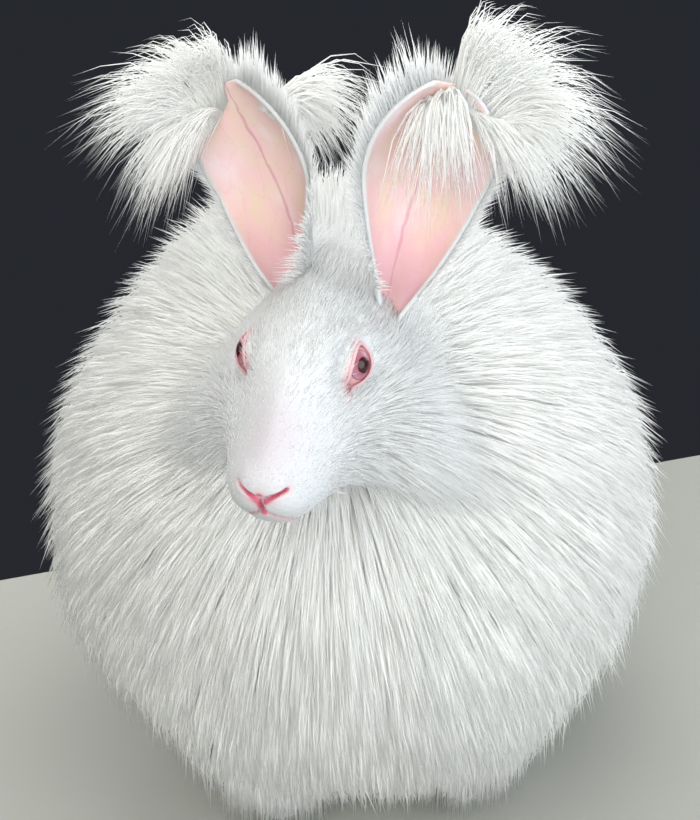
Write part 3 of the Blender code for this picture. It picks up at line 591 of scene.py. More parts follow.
def makeWoolFinish(name, look):
    # the emission is painted light: a glow that lifts the shade between the tufts, though wool is no lamp
    made, b, shader = newFinish(name, {"Roughness": 0.85, "Specular IOR Level": 0.08,
                                       "Emission Strength": look["glow"], "Emission Color": look["tip"]})
    patches = b.noise(b.objectPlace(), 26.0, 3.0)
    fromRoot = b.between(b.mark("along") + (patches - 0.5) * 0.5, 0.0, 0.6)
    b.feed(shader, "Base Color", b.blend(fromRoot, look["root"], look["tip"]))
    glow = b.node("ShaderNodeBsdfTranslucent", {}, {"Color": look["tip"]})
    showShader(b, b.node("ShaderNodeMixShader", {}, {0: look["through"], 1: shader, 2: glow}))
    return made


skinLook = {
    "fur": rgb(0.60, 0.62, 0.63), "under": rgb(0.555, 0.57, 0.58), "pink": rgb(0.62, 0.40, 0.42),
    # the bridge colour is pinker fur, also darkened as painted shade against the strong light on it
    "slit": rgb(0.50, 0.10, 0.16), "bridge": rgb(0.50, 0.465, 0.50),
    "earPink": rgb(0.72, 0.50, 0.49), "earWarm": rgb(0.68, 0.53, 0.42), "earPale": rgb(0.74, 0.60, 0.64),
    "vein": rgb(0.50, 0.20, 0.28), "earDeep": rgb(0.60, 0.31, 0.37),
}


def makeSkinFinish():
    made, b, shader = newFinish("short fur and pink skin", {"Specular IOR Level": 0.3, "Sheen Weight": 0.1})
    coords, look = b.objectPlace(), skinLook
    colour = b.blend(b.noise(coords, 60.0, 3.0), look["under"], look["fur"])
    # the bridge mark: pinker fur, darker as painted shade where the lights fall strongest
    colour = b.blend(b.mark("bridge"), colour, look["bridge"])
    colour = b.blend(b.mark("pink"), colour, look["pink"])
    colour = b.blend(b.mark("slit"), colour, look["slit"])

    # the inside of the ears, with a main vein up the middle and fine ones that branch from it
    rise, across = b.mark("earRise"), b.mark("earAcross")
    cup = b.node("ShaderNodeCombineXYZ", {}, {"X": across, "Y": rise * 2.4})
    mottle = b.noise(cup, 3.2, 4.0, 0.6)
    inner = b.blend(b.between(mottle, 0.42, 0.62), look["earPink"], look["earWarm"])
    inner = b.blend(b.between(b.noise(cup, 1.6, 2.0), 0.45, 0.75), inner, look["earPale"])
    inner = b.blend(b.between(rise, 0.50, 0.22) * 0.55, inner, look["earDeep"])
    wander = (b.noise(cup, 2.5, 2.0) - 0.5) * 0.20
    offMiddle = b.maths("ABSOLUTE", across + wander + rise * 0.25 - 0.10)
    veinMask = b.between(offMiddle, 0.045, 0.010) * 0.55
    branches = b.node("ShaderNodeTexVoronoi", {"feature": "DISTANCE_TO_EDGE"},
                      {"Vector": cup + b.noise(cup, 5.0).out("Color") * 0.35, "Scale": 2.6}, "Distance")
    veinMask = veinMask + b.between(branches, 0.040, 0.0) * 0.11
    inner = b.blend(veinMask, inner, look["vein"])
    b.feed(shader, "Base Color", b.blend(b.mark("earInner"), colour, inner))
    b.feed(shader, "Roughness", 0.80 - (b.mark("slit") * 0.35 + b.mark("pink") * 0.2))
    grain = b.noise(coords, 900.0, 2.0) * 0.5 + b.noise(coords, 260.0, 2.0) * 0.5
    bump = b.node("ShaderNodeBump", {}, {"Strength": 0.35, "Distance": 0.0006, "Height": grain})
    b.feed(shader, "Normal", bump)
    showShader(b, shader)
    return made


eyeLook = {
    "pupil": rgb(0.030, 0.002, 0.004), "innerIris": rgb(0.34, 0.10, 0.14), "iris": rgb(0.42, 0.24, 0.30),
    "edge": rgb(0.30, 0.08, 0.12), "white": rgb(0.62, 0.34, 0.36),
}


def makeEyeFinish():
    made, b, shader = newFinish("wet pink eye", {"Roughness": 0.4, "Specular IOR Level": 0.2,
                                                 "Coat Weight": 0.4, "Coat Roughness": 0.03})
    look, pupil, iris = eyeLook, eye["pupilRadius"], eye["irisRadius"]
    away = b.mark("fromPupil")  # metres from the middle of the pupil
    streaks = b.noise(b.objectPlace(), 1500.0, 2.0)
    colour = b.blend(b.between(away, pupil, iris), look["innerIris"], look["iris"])
    colour = b.blend(b.between(streaks, 0.45, 0.75) * 0.4, colour, look["edge"])
    colour = b.blend(b.between(away, pupil * 0.96, pupil * 1.06), look["pupil"], colour)
    colour = b.blend(b.between(away, iris * 0.90, iris * 0.97), colour, look["edge"])
    colour = b.blend(b.between(away, iris * 0.98, iris * 1.08), colour, look["white"])
    b.feed(shader, "Base Color", colour)
    showShader(b, shader)
    return made


floorLook = {"dark": rgb(0.30, 0.305, 0.275), "pale": rgb(0.34, 0.345, 0.315)}


def makeFloorFinish():
    made, b, shader = newFinish("pale table", {"Roughness": 0.55})
    coords = b.objectPlace()
    grain = b.noise(coords, 300.0)
    b.feed(shader, "Base Color", b.blend(b.noise(coords, 5.0, 3.0), floorLook["dark"], floorLook["pale"]))
    bump = b.node("ShaderNodeBump", {}, {"Strength": 0.1, "Distance": 0.0005, "Height": grain})
    b.feed(shader, "Normal", bump)
    showShader(b, shader)
    return made


woolFinish = makeWoolFinish("angora wool", woolLook)
furFinish = makeWoolFinish("short white fur", furLook)
skinFinish = makeSkinFinish()
eyeFinish = makeEyeFinish()
print("finishes made")


# The head's skin

def eyeAxes(side):  # columns: along the lids to the front, up, and out of the head
    out = unit(mirror(eye["looks"], side))
    slant = math.radians(eye["slant"])
    front = row(math.cos(slant), 0, -math.sin(slant))
    front = unit(front - out * (front @ out))
    up = np.cross(out, front)
    return np.column_stack((front, up if up[2] > 0 else -up, out))


def openingLong(angles):  # half the length of the eye's opening, with its front corner drawn out
    return eye["openLong"] + eye["cornerLong"] * np.exp(-(angles / eye["cornerSpread"]) ** 2)


def openingShare(local):  # 0 in the middle of the eye's opening, 1 at its rim
    angles = np.arctan2(local[:, 1] / eye["openWide"], local[:, 0] / eye["openLong"])
    return np.hypot(local[:, 0] / openingLong(angles), local[:, 1] / eye["openWide"])


def surfaceTree(mesh):
    bm = bmesh.new()
    bm.from_mesh(mesh)
    tree = BVHTree.FromBMesh(bm)
    bm.free()
    return tree


def snapLine(tree, line, side):  # a line on the head, brought to the skin
    places = []
    for start, end in zip(line, line[1:]):
        start, end = row(*start), row(*end)
        places += [mirror(start + (end - start) * share, side) for share in (0, 0.25, 0.5, 0.75)]
    places.append(mirror(line[-1], side))
    return [tuple(tree.find_nearest(Vector(place))[0]) for place in places]


def bulge(places, normals, mark):
    moved = places.copy()
    for side in sides:
        for place, reach, height in faceForms:
            moved += normals * (height * near(places, mirror(place, side), reach))[:, None]
    return moved - normals * (head["furDepth"] * (1 - mark))[:, None]


def headSkin():
    places, count = [], head["sides"]
    for forward, top, bottom, halfWidth in head["sections"]:
        middle = bottom + head["widest"] * (top - bottom)
        for i in range(count):
            angle = 2 * math.pi * i / count
            left, rise = math.cos(angle), math.sin(angle)
            power = head["roundAbove"] if rise > 0 else head["roundBelow"]
            reach = top - middle if rise > 0 else middle - bottom
            across = halfWidth * math.copysign(abs(left) ** power, left)
            places.append((forward, across, middle + rise * reach))
    rows = len(head["sections"])
    faces = gridFaces(rows, count, closed=True)
    for first in (0, (rows - 1) * count):
        places.append(tuple(np.mean(places[first:first + count], axis=0)))
        faces += [(first + i, first + (i + 1) % count, len(places) - 1) for i in range(count)]
    mesh = newMesh("headSkin", places, faces)
    pointOutwards(mesh)
    mesh = modified(mesh, "SUBSURF", {"levels": head["smoothing"], "render_levels": head["smoothing"]})
    places, normals = meshPlaces(mesh), meshNormals(mesh)
    places = bulge(places, normals, near(places, row(*head["nose"]), head["noseReach"]))
    setPlaces(mesh, places)

    # slits of the nostrils, the split lip and the mouth
    normals, tree = meshNormals(mesh), surfaceTree(mesh)
    for slit in slits.values():
        for side in sides:
            away = lineDistance(places, snapLine(tree, slit["line"], side))
            share = 1.0 if slit["line"][0][1] > 0.0001 or side == "left" else 0.0  # a middle slit is cut once
            depth = slit["depth"] * share * np.exp(-(away / slit["width"]) ** 2)
            places = places - normals * depth[:, None]

    # lids that wrap the eyeball, and the hollow behind them
    for side in sides:
        axes, middle = eyeAxes(side), mirror(eye["place"], side)
        local = (places - middle) @ axes
        radius = eye["radius"] + eye["lid"]
        away = np.hypot(local[:, 0], local[:, 1])
        cap = np.sqrt(np.maximum(radius ** 2 - away ** 2, (0.35 * radius) ** 2))
        share = ease(0.85 * radius, 1.9 * radius, away)
        atEye = (local[:, 2] > 0) & (away < 2.2 * radius)
        local[:, 2] = np.where(atEye, cap * (1 - share) + local[:, 2] * share, local[:, 2])
        places = local @ axes.T + middle
    setPlaces(mesh, places)
    tree, rims = surfaceTree(mesh), []
    for side in sides:
        rims.append(lidRim(tree, side))
        axes, middle = eyeAxes(side), mirror(eye["place"], side)
        local = (places - middle) @ axes
        inside = ease(1.02, 0.86, openingShare(local)) * (local[:, 2] > 0)
        deep = ease(eye["radius"] * 1.10, eye["radius"] * 0.85, np.hypot(local[:, 0], local[:, 1]))
        atRim = 0.0007
        local[:, 2] -= inside * (atRim + (eye["hollow"] - atRim) * deep)
        places = local @ axes.T + middle
    setPlaces(mesh, places)
    return mesh, rims


def lidRim(tree, side):  # the moist edge round an eye's opening, as a closed tube
    axes, middle = eyeAxes(side), mirror(eye["place"], side)
    around, count = 64, 8
    angles = np.linspace(-math.pi, math.pi, around, endpoint=False)
    flat = np.column_stack((openingLong(angles) * np.cos(angles), eye["openWide"] * np.sin(angles)))
    path = []
    for u, v in flat:
        start = middle + axes @ row(u, v, 0.03)
        hit = tree.ray_cast(Vector(start), Vector(-axes[:, 2]))[0]
        path.append(row(*hit))
    path = np.array(path)
    slope = unit(np.roll(path, -1, 0) - np.roll(path, 1, 0))
    outward = unit(path - middle)
    across = unit(np.cross(slope, outward))
    places, thick = [], eye["rim"] * eye["rimFlat"]
    for place, flat, up in zip(path, across, outward):
        for i in range(count):
            roll = 2 * math.pi * i / count
            places.append(place + flat * eye["rim"] * math.cos(roll) + up * thick * math.sin(roll))
    faces = gridFaces(around + 1, count, closed=True)
    faces = [tuple(k % (around * count) for k in face) for face in faces]
    mesh = newMesh("lidRim", places, faces)
    pointOutwards(mesh)
    return mesh


def pointOutwards(mesh):
    bm = bmesh.new()
    bm.from_mesh(mesh)
    bmesh.ops.recalc_face_normals(bm, faces=bm.faces)
    bm.to_mesh(mesh)
    bm.free()
    mesh.update()


def roundForm(name, centre, half, across=48, rings=32, floor=-1.0):
    bm = bmesh.new()
    bmesh.ops.create_uvsphere(bm, u_segments=across, v_segments=rings, radius=1.0)
    mesh = bpy.data.meshes.new(name)
    bm.to_mesh(mesh)
    bm.free()
    places = meshPlaces(mesh) * row(*half) + row(*centre)
    places[:, 2] = np.maximum(places[:, 2], floor)
    setPlaces(mesh, places)
    return mesh


# The ears: a point of the cup's wall from base (0) to tip (1) and from edge (-1) to edge (1)

def earFrame(side):
    along = unit(headAxes @ mirror(ear["direction"][side], side))
    angle = math.radians(ear["opens"][side])
    opens = headAxes @ row(math.cos(angle), math.sin(angle) * sides[side], 0)
    opens = unit(opens - along * (opens @ along))
    base = fromHead(mirror(ear["place"][side], side)) - along * ear["sunk"]
    return base, along, np.cross(opens, along), opens


def earPoints(side, rises, acrosses):
    base, along, sideways, opens = earFrame(side)
    swelling = np.sin(math.pi * (ear["swellFirst"] + ear["swellSpan"] * rises)) ** ear["swellPower"]
    closing = np.maximum(0, (rises - ear["closes"]) / (1 - ear["closes"])) ** ear["closePower"]
    width = ear["baseShare"] + (1 - ear["baseShare"]) * swelling
    width = ear["halfWidth"] * width * np.sqrt(np.maximum(0, 1 - closing))
    wrap = ear["wrapBase"] - ear["wrapOpens"] * np.minimum(1, rises / ear["openFrom"])
    radius = width / np.sin(np.minimum(wrap, math.pi / 2))
    angle = wrap * acrosses
    rise = (ear["length"] * rises)[:, None] * along
    bend = (ear["bend"] * np.sin(math.pi * rises))[:, None] * opens
    return (base + rise - bend + (radius * np.sin(angle))[:, None] * sideways
            + (radius * (1 - np.cos(angle)))[:, None] * opens)


def earGrid(rows, columns, lowRise=0.0, highRise=ear["lastRise"]):
    return pairs(np.linspace(lowRise, highRise, rows), np.linspace(-1.0, 1.0, columns))


def earInward(side, rises, acrosses):  # the wall's direction into the cup
    step = 0.004
    up = earPoints(side, rises + step, acrosses) - earPoints(side, rises - step, acrosses)
    over = earPoints(side, rises, acrosses + step) - earPoints(side, rises, acrosses - step)
    normal = unit(np.cross(up, over))
    middle = np.abs(acrosses) < 0.2
    opens = earFrame(side)[3]
    return normal if (normal[middle] @ opens).mean() > 0 else -normal


def earShell(side):
    size = ear["rows"], ear["columns"]
    mesh = newMesh("earShell", earPoints(side, *earGrid(*size)), gridFaces(*size))
    mesh = modified(mesh, "SOLIDIFY", {"thickness": ear["wall"], "offset": 0.0})
    pointOutwards(mesh)
    return mesh


# The whole skin: woolly core, neck, head, ears, feet and tail in one closed mesh

def coreForm():
    mesh = roundForm("core", (0, 0, 0), (1, 1, 1), 160, 96)
    directions = unit(meshPlaces(mesh))
    places = row(*wool["ballCentre"]) + directions * woolReach(directions, wool["coreDepth"])[:, None]
    places[:, 2] = np.maximum(places[:, 2], wool["coreFloor"])
    setPlaces(mesh, places)
    return mesh


feet = {
    "forepaw": {"place": (0.044, -0.064, 0.010), "half": (0.0125, 0.0245, 0.0105)},
    "hindpaw": {"place": (0.064, 0.044, 0.010), "half": (0.0165, 0.0445, 0.0105)},
    "floor": 0.0006,
}
tail = {"place": (0.0, 0.146, 0.088), "half": (0.016, 0.022, 0.020), "reach": (0.034, 0.044, 0.040)}


def buildSkin():
    headMesh, rims = headSkin()
    facePlaces, faceNormals = meshPlaces(headMesh), meshNormals(headMesh)
    faceFaces = [tuple(face.vertices) for face in headMesh.polygons]
    group = bpy.data.collections.new("forms")
    bpy.context.scene.collection.children.link(group)

    def addForm(mesh, onHead=False):
        if onHead:
            setPlaces(mesh, fromHead(meshPlaces(mesh)))
        group.objects.link(bpy.data.objects.new("form", mesh))

    for rim in rims:
        addForm(rim, True)
    for side in sides:
        addForm(earShell(side))
        for name in ("forepaw", "hindpaw"):
            foot = feet[name]
            addForm(roundForm(name, acrossBody(foot["place"], side), foot["half"], 32, 20, feet["floor"]))
    addForm(roundForm("tail", tail["place"], tail["half"]))
    neckEnd = fromHead(row(*head["neckEnd"]))
    for share in (0.0, 0.5):
        middle = neckEnd * (1 - share) + row(*wool["ballCentre"]) * share
        addForm(roundForm("neck", middle, (head["neckRadius"] + head["neckGrows"] * share,) * 3, 40, 24))
    addForm(headMesh, True)
    skin = link("skin", coreForm())
    fuse = skin.modifiers.new("fuse", "BOOLEAN")
    fuse.operation, fuse.solver, fuse.operand_type, fuse.collection = "UNION", "MANIFOLD", "COLLECTION", group
    mesh = evaluatedMesh(skin)
    skin.modifiers.clear()
    skin.data = mesh
    for form in list(group.objects):
        bpy.data.objects.remove(form)
    bpy.data.collections.remove(group)
    return skin, facePlaces, faceNormals, faceFaces


def markSkin(skin):
    mesh = skin.data
    places = meshPlaces(mesh)
    local = toHead(places)
    isHead = (np.abs(local[:, 0]) < 0.07) & (np.abs(local[:, 1]) < 0.045) & (np.abs(local[:, 2]) < 0.05)
    slit, pink = np.zeros(len(places)), np.zeros(len(places))
    tree = surfaceTree(mesh)
    for cut in slits.values():
        for side in sides:
            line = [fromHead(mirror(place, side)) for place in cut["line"]]
            away = lineDistance(places, [tuple(tree.find_nearest(Vector(place))[0]) for place in line])
            slit = np.maximum(slit, cut["colour"] * ease(cut["width"] * 2.0, cut["width"] * 0.7, away))
            pink = np.maximum(pink, cut["colour"] * 0.55 * ease(cut["width"] * 4.5, cut["width"] * 1.2, away))
    for side in sides:
        eyeLocal = (local - mirror(eye["place"], side)) @ eyeAxes(side)
        share = openingShare(eyeLocal)
        atEye = (eyeLocal[:, 2] > 0) & (np.linalg.norm(eyeLocal, axis=1) < 0.02)
        pink = np.maximum(pink, atEye * ease(1.42, 1.06, share))
        slit = np.maximum(slit, atEye * 0.35 * ease(1.0, 0.9, share))
    bridge = near(local, row(*head["bridge"]), row(*head["bridgeReach"]))
    for name, mark in (("slit", slit), ("pink", pink), ("bridge", bridge)):
        addMark(mesh, name, mark * isHead)

    # the ears, by the nearest place of their walls
    rises, acrosses = earGrid(60, 48)
    inner, earRise, earAcross = np.zeros((3, len(places)))
    for side in sides:
        wallPlaces, inward = earPoints(side, rises, acrosses), earInward(side, rises, acrosses)
        walls = KDTree(len(wallPlaces))
        for i, place in enumerate(wallPlaces):
            walls.insert(place, i)
        walls.balance()
        base, along = earFrame(side)[:2]
        for i in np.nonzero((places - base) @ along > 0.003)[0]:
            _, j, away = walls.find(places[i])
            if away < 0.004 + 0.012 * max(0.0, 1 - rises[j] / 0.50):
                facing = (places[i] - wallPlaces[j]) @ inward[j]
                inner[i] = min(1.0, max(0.0, facing / 0.0006)) * min(1.0, (1.0 - abs(acrosses[j])) / 0.06)
                earRise[i], earAcross[i] = rises[j], acrosses[j] * sides[side]
    for name, mark in (("earInner", inner), ("earRise", earRise), ("earAcross", earAcross)):
        addMark(mesh, name, mark)


skin, facePlaces, faceNormals, faceFaces = buildSkin()
markSkin(skin)
settled(skin.data)
shadeSmooth(skin.data, skinFinish)
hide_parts("head", "neck", "torso", "tail",
            *[name + "_" + side for name in ("foreleg", "hindleg", "ear") for side in sides])
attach(skin, "root")
print("skin", len(skin.data.polygons), "faces")


# The eyes

for side in sides:
    axes, middle = eyeAxes(side), mirror(eye["place"], side)
    ball = roundForm("eyeball", (0, 0, 0), (1, 1, 1), 64, 48)
    local = unit(meshPlaces(ball))
    fromPupil = np.arccos(np.clip(local[:, 2], -1, 1)) * eye["radius"]
    swollen = eye["radius"] + eye["cornea"] * ease(eye["irisRadius"] * 1.15, 0, fromPupil) - 0.0001
    setPlaces(ball, fromHead((local * swollen[:, None]) @ axes.T + middle))
    addMark(ball, "fromPupil", fromPupil)
    pointOutwards(ball)
    shadeSmooth(ball, eyeFinish)
    eyeball = link("eyeball_" + side, settled(ball))
    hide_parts("eye_" + side)
    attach(eyeball, "root")
print("eyes made")


# The wool of the body, in sectors: first and last angle round the ball from the front to the left side,
# lowest and highest angle above level, and its tufts

woolSectors = {
    "chestWool_left": (-3, 65, -68, 52, 9400), "chestWool_right": (-65, 3, -68, 52, 9400),
    "flankWool_left": (59, 125, -68, 52, 8500), "flankWool_right": (-125, -59, -68, 52, 8500),
    "rumpWool_left": (119, 183, -68, 52, 7400), "rumpWool_right": (-183, -119, -68, 52, 7400),
    "backWool": (-180, 180, 52, 90, 9000),
}
bodyCoat = {"clumps": 800, "shape": {"Clump pull": 0.44, "Width": 0.00080, "Shortest": 0.66, "Longest": 1.05,
                                     "Stray": 0.12, "Segments": 3, "Wave": 0.018, "Waves": 1.2}}


def woolGuides(directions):
    ball = row(*wool["ballCentre"])
    roots = ball + directions * woolReach(directions, wool["coreDepth"] + 0.002)[:, None]
    lie = wool["flow"] * unit(roots - headCentre) + wool["droop"] * row(0, 0, -1)
    lie = lie - directions * (lie * directions).sum(1, keepdims=True)

    def leaning(share):
        return unit(directions * wool["outward"] + lie * wool["slide"] * share)
    atTip, atBend = leaning(1.0), leaning(0.30)
    tips = ball + atTip * (woolReach(atTip, wool["tipDepth"]) + wool["relief"] * swell(atTip))[:, None]
    bends = ball + atBend * woolReach(atBend, wool["coreDepth"] * 0.20)[:, None]
    tips[:, 2] = np.maximum(tips[:, 2], 0.003)
    tips, bends = clearOfHead(tips), clearOfHead(bends)
    bare = np.linalg.norm(toHead(roots) / row(*head["keepClear"]), axis=1) < 0.85
    return roots, bends - roots, tips - roots, 1.0 - bare


for name, (firstAngle, lastAngle, lowest, highest, tufts) in woolSectors.items():
    rows, columns = 30, 40
    rise, around = pairs(np.radians(np.linspace(lowest, min(highest, 89.5), rows)),
                         np.radians(np.linspace(firstAngle, lastAngle, columns)))
    level = np.cos(rise)
    directions = np.column_stack((np.sin(around) * level, -np.cos(around) * level, np.sin(rise)))
    roots, bends, tips, thickness = woolGuides(directions)
    growTufts(name, roots, gridFaces(rows, columns), bends, tips, evenPatches(rows, columns),
              {**bodyCoat, "tufts": tufts}, woolFinish, thickness)


# The short fur of the face, longer on the crown and in tufts on the cheeks

faceCoat = {"tufts": 17000, "clumps": 1500,
            "shape": {"Clump pull": 0.30, "Width": 0.00038, "Shortest": 0.65, "Longest": 1.15, "Stray": 0.14,
                      "Segments": 2, "Wave": 0.0, "Waves": 1.0}}
cheek = {"place": (-0.006, 0.029, -0.021), "reach": (0.034, 0.022, 0.020), "length": 0.024, "back": -0.30}
faceFur = {  # its length at the nose, and how much longer it is elsewhere
    "nose": 0.0028, "bridge": 0.0032, "crown": 0.0035, "throat": 0.014, "nape": 0.016,
    "ears": 0.010, "earReach": 0.013, "earPull": 1.6,  # the ruff that climbs the root of each ear
    "brow": 0.003, "browPlace": (0.012, 0.016, 0.022), "browReach": 0.010,
}


def onBothSides(place):  # a place on the head, on the side of each place of the face
    return row(place[0], 0, place[2]) + np.sign(facePlaces[:, 1:2]) * row(0, place[1], 0)


def faceFlow(onCheek):  # how the fur of the face lies, and how long it is
    forward, left, up = facePlaces.T
    flow = np.column_stack((-np.ones(len(forward)), np.zeros(len(forward)), -0.30 * ease(0.0, -0.03, up)))
    fan = unit(facePlaces - row(-0.004, 0, 0.002)) * row(0.4, 1, 1) + row(cheek["back"], 0, -0.12)
    flow = unit(flow * (1 - onCheek)[:, None] + fan * onCheek[:, None])
    length = faceFur["nose"] + faceFur["bridge"] * ease(0.045, 0.02, forward)
    length += faceFur["crown"] * ease(0.02, -0.02, forward)
    length += faceFur["throat"] * ease(-0.012, -0.034, up) * ease(0.052, 0.020, forward)
    length += faceFur["nape"] * ease(-0.016, -0.045, forward) + cheek["length"] * onCheek
    atEars = np.zeros(len(forward))
    for side in sides:
        root = mirror(ear["place"][side], side) * row(1, 1, 0.8)
        atEar = near(facePlaces, root, faceFur["earReach"])
        flow = flow + (faceFur["earPull"] * atEar)[:, None] * mirror(ear["direction"][side], side)
        atEars = np.maximum(atEars, atEar)
    atBrow = near(facePlaces, onBothSides(faceFur["browPlace"]), faceFur["browReach"])
    return unit(flow), length + faceFur["ears"] * atEars + faceFur["brow"] * atBrow


def faceThickness(world):  # how thick the fur grows: bare at the eyes and slits, and gone inside the wool
    thickness = np.ones(len(facePlaces))
    for side in sides:
        local = (facePlaces - mirror(eye["place"], side)) @ eyeAxes(side)
        atEye = (local[:, 2] > 0) & (np.linalg.norm(local, axis=1) < 0.03)
        thickness *= 1 - atEye * ease(1.22, 1.08, openingShare(local))
        for slit in slits.values():
            away = lineDistance(facePlaces, [tuple(mirror(place, side)) for place in slit["line"]])
            thickness *= ease(slit["width"] * 1.5, slit["width"] * 3.0, away)
    outward = world - row(*wool["ballCentre"])
    depth = woolReach(unit(outward), 0.0) - np.linalg.norm(outward, axis=1)
    return thickness * ease(0.022, 0.012, depth)


def growFaceFur():
    forward, left, up = facePlaces.T
    onCheek = near(facePlaces, onBothSides(cheek["place"]), row(*cheek["reach"]))
    flow, length = faceFlow(onCheek)
    lift = 0.16 + 0.45 * onCheek + 0.60 * ease(-0.02, -0.05, forward)
    flow = unit(flow - faceNormals * ((flow * faceNormals).sum(1) * (1 - 0.7 * onCheek))[:, None])
    tips = (flow + faceNormals * lift[:, None]) * length[:, None]
    bends = (flow * 0.42 + faceNormals * (lift * 0.75)[:, None]) * length[:, None]
    fineness = 0.55 + 0.5 * onCheek + 0.2 * ease(0.0, -0.04, forward) - 0.15 * ease(0.03, 0.05, forward)
    patches = np.column_stack((0.5 + np.arctan2(left, up) / math.pi * 0.48, (forward + 0.066) / 0.134))
    world, turn = fromHead(facePlaces), headAxes.T
    growTufts("faceFur", world - (faceNormals @ turn) * 0.0004, faceFaces, bends @ turn, tips @ turn, patches,
              faceCoat, furFinish, faceThickness(world), fineness)


growFaceFur()


# The fur on the back and rims of the ears, and their plumes

earCoat = {"tufts": 5500, "clumps": 500,
           "shape": {"Clump pull": 0.30, "Width": 0.00038, "Shortest": 0.65, "Longest": 1.15, "Stray": 0.18,
                     "Segments": 2, "Wave": 0.0, "Waves": 1.0}}
plumeCoat = {"clumps": 30, "shape": {"Clump pull": 0.78, "Width": 0.00050, "Shortest": 0.42, "Longest": 1.14,
                                     "Stray": 0.24, "Segments": 5, "Wave": 0.045, "Waves": 1.3}}


def growEarFur(side):
    rows, columns = 40, 30
    rises, acrosses = earGrid(rows, columns, 0.14, 0.97)
    walls, inward = earPoints(side, rises, acrosses), earInward(side, rises, acrosses)
    along = earFrame(side)[1]
    roots = walls - inward * (ear["wall"] / 2 - 0.0002)
    edge = ease(0.72, 1.0, np.abs(acrosses))
    over = earPoints(side, rises, acrosses + 0.01) - earPoints(side, rises, acrosses - 0.01)
    outAcross = unit(over) * np.sign(acrosses)[:, None]
    medial = ease(0.2, 1.0, acrosses * sides[side])
    length = 0.0055 + 0.0045 * edge + 0.004 * medial * edge + 0.008 * ease(0.6, 1.0, rises)
    flow = unit(along + outAcross * (0.15 + 0.8 * edge)[:, None])
    crossing = medial * edge * ease(0.62, 0.40, rises)  # hairs that cross the mouth of the cup near its root
    flow = unit(flow * (1 - crossing)[:, None] + (0.45 * along + outAcross) * crossing[:, None])
    length += 0.008 * crossing
    lift = 0.30
    tips = (flow - inward * lift) * length[:, None]
    bends = (flow * 0.45 - inward * lift * 0.75) * length[:, None]
    patches = np.column_stack((0.5 + acrosses * 0.48, 0.02 + rises * 0.96))
    growTufts("earFur_" + side, roots, gridFaces(rows, columns), bends, tips, patches, earCoat, furFinish,
              0.55 + 0.45 * edge)


def growPlume(side):
    outward, outerEdge = row(sides[side], 0, 0), -sides[side]
    for number, (first, last, lengthFirst, lengthLast, lean, tufts) in enumerate(plume[side]):
        rows, columns = 24, 5
        share, spot = pairs(np.linspace(0, 1, rows), np.linspace(-1, 1, columns))
        angle = np.radians(first + (last - first) * share)
        length = (lengthFirst + (lengthLast - lengthFirst) * share) * (1 - 0.10 * np.abs(spot))
        rise = plume["rootRise"] - plume["rootDrop"] * np.abs(np.cos(angle)) + 0.03 * spot
        rise = np.clip(rise, 0, ear["lastRise"])
        roots = earPoints(side, rise, outerEdge * plume["rootAcross"] * np.cos(angle))
        roots = roots + (spot * 0.003)[:, None] * earFrame(side)[3]
        spread = np.cos(angle)[:, None] * outward + np.sin(angle)[:, None] * row(0, 0, 1)
        forward = row(0, -1, 0) * (lean + 0.012 * spot)[:, None]
        tips = spread * length[:, None] + forward
        bends = spread * (length * 0.45)[:, None] + forward * 0.3
        bends[:, 2] += plume["arch"] + 0.2 * length
        patches = np.column_stack((0.04 + 0.3 * number + 0.12 * (spot + 1), 0.02 + 0.96 * share))
        growTufts("plume_" + side + str(number + 1), roots, gridFaces(rows, columns), bends, tips, patches,
                  {**plumeCoat, "tufts": tufts}, woolFinish)


for side in sides:
    growEarFur(side)
    growPlume(side)


# The tail and the short fur of the feet

def growRound(name, centre, half, reach, tufts, lean, look, finish):
    rows, columns = 20, 28
    rise, around = pairs(np.radians(np.linspace(-88, 88, rows)), np.radians(np.linspace(0, 360, columns)))
    level = np.cos(rise)
    directions = np.column_stack((np.cos(around) * level, np.sin(around) * level, np.sin(rise)))
    roots = row(*centre) + directions * row(*half)
    tips = row(*centre) + directions * row(*reach) + row(*lean)
    tips[:, 2] = np.maximum(tips[:, 2], 0.002)
    bends = (directions * (row(*reach) - row(*half))) * 0.6
    growTufts(name, roots, gridFaces(rows, columns), bends, tips - roots, evenPatches(rows, columns),
              {**look, "tufts": tufts}, finish)


# How far out the wool hangs round a foot, from which angle to which (0 forward, 90 outward), and its tufts
fringes = {
    "forepaw": (0.029, 0.029, -75, 75, 1100), "hindpaw": (0.033, 0.060, 5, 175, 1300),
    "top": 0.058, "bulge": 1.05, "bendZ": 0.0435, "tipZ": 0.0025,
}


def growFringe(name, side):
    reachX, reachY, first, last, tufts = fringes[name]
    rows, columns = 20, 5
    angle, spot = pairs(np.radians(np.linspace(first, last, rows)), np.linspace(0, 1, columns))
    reach = row(sides[side] * reachX, -reachY, 0)
    reach = np.column_stack((np.sin(angle), np.cos(angle), np.zeros(len(angle)))) * reach
    place = acrossBody(feet[name]["place"], side) * row(1, 1, 0)
    roots = place + reach * (0.25 + 0.30 * spot)[:, None] + row(0, 0, fringes["top"])
    roots[:, 2] -= 0.012 * spot
    outward = 0.86 + 0.16 * spot
    tips = place + reach * outward[:, None] + row(0, 0, fringes["tipZ"])
    bends = place + reach * (fringes["bulge"] * outward)[:, None] + row(0, 0, fringes["bendZ"])
    patches = evenPatches(rows, columns)[:, ::-1]
    growTufts(name + "Fringe_" + side, roots, gridFaces(rows, columns), bends - roots, tips - roots, patches,
              {**bodyCoat, "tufts": tufts, "clumps": 60}, woolFinish)


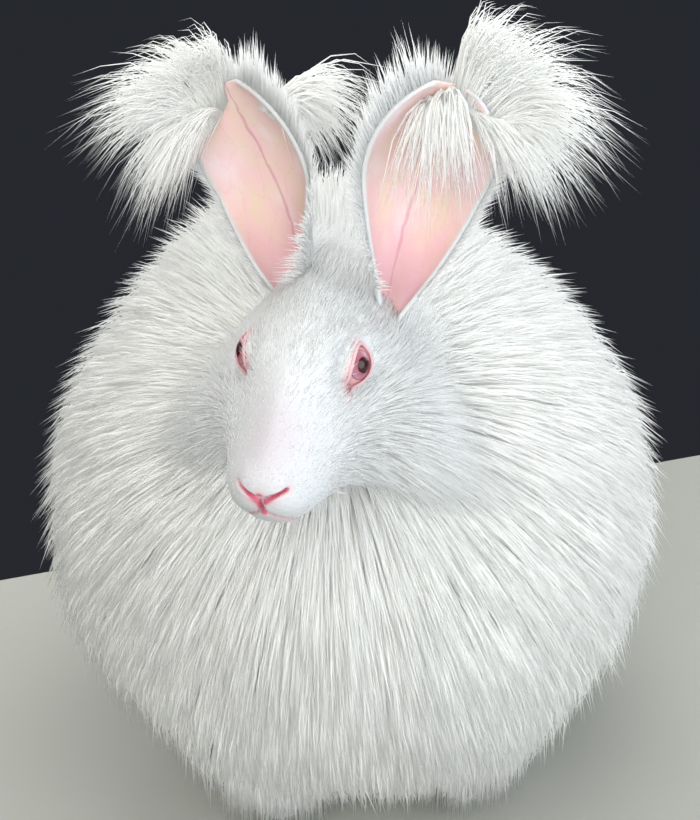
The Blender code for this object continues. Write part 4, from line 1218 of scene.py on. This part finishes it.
growRound("tailWool", tail["place"], tail["half"], tail["reach"], 1800, (0, 0.006, -0.008),
          {**bodyCoat, "clumps": 60}, woolFinish)
for side in sides:
    for name, tufts in (("forepaw", 500), ("hindpaw", 800)):
        foot = feet[name]
        growRound(name + "Fur_" + side, acrossBody(foot["place"], side), foot["half"],
                  tuple(size + 0.0012 for size in foot["half"]), tufts, (0, 0, -0.0005), faceCoat, furFinish)
        growFringe(name, side)


# The floor, the lights and the camera

studio = {"target": (0.0, 0.0, 0.175), "azimuth": -8.0, "elevation": 27.0, "distance": 0.8, "lens": 74.0,
          "floorLow": (-1.1, -1.0), "floorHigh": (1.1, 0.19), "floorSlope": 0.20,
          "background": (0.020, 0.022, 0.028)}
lamps = {  # place, what it faces, its size, its power and its colour
    "key": ((-0.85, -1.35, 1.35), (0, 0, 0.17), 1.6, 32.0, (1.0, 0.985, 0.93)),
    "fill": ((1.30, -1.15, 0.60), (0, 0, 0.13), 1.6, 28.0, (0.88, 0.94, 1.0)),
    "front": ((0.0, -1.7, 0.45), (0, 0, 0.12), 0.5, 9.0, (0.94, 0.97, 1.0)),
    "top": ((0.1, 0.25, 1.6), (0, 0, 0.2), 1.4, 15.0, (1.0, 1.0, 0.96)),
    "back": ((-0.6, 1.3, 0.9), (0, 0, 0.2), 1.1, 12.0, (1.0, 1.0, 1.0)),
    "rear": ((1.2, 0.9, 0.7), (0, 0, 0.15), 1.3, 12.0, (0.94, 0.97, 1.0)),
}


def buildStudio():
    low, high = studio["floorLow"], studio["floorHigh"]
    far = [(x, high[1] + x * studio["floorSlope"], 0) for x in (high[0], low[0])]
    floor = link("floor", newMesh("floor", [(low[0], low[1], 0), (high[0], low[1], 0), *far], [(0, 1, 2, 3)]))
    floor.data.materials.append(makeFloorFinish())
    floor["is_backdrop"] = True
    world = bpy.data.worlds.new("studio")
    world.use_nodes = True
    world.node_tree.nodes["Background"].inputs["Color"].default_value = (*studio["background"], 1)
    bpy.context.scene.world = world
    for name, (place, faces, size, power, colour) in lamps.items():
        light = bpy.data.lights.new(name, "AREA")
        light.shape, light.size, light.energy, light.color = "DISK", size, power, colour
        lamp = link(name, light)
        lamp.location = place
        lamp.rotation_euler = (Vector(faces) - Vector(place)).to_track_quat("-Z", "Y").to_euler()
    turn, rise = math.radians(studio["azimuth"]), math.radians(studio["elevation"])
    back = row(math.sin(turn) * math.cos(rise), -math.cos(turn) * math.cos(rise), math.sin(rise))
    camera = link("camera", bpy.data.cameras.new("camera"))
    camera.location = row(*studio["target"]) + settle + back * studio["distance"]
    camera.rotation_euler = (-Vector(back)).to_track_quat("-Z", "Y").to_euler()
    camera.data.lens, camera.data.sensor_width = studio["lens"], 36.0
    bpy.context.scene.camera = camera
    bpy.context.scene.view_settings.view_transform = "Standard"


buildStudio()
print("studio made")
low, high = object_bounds()
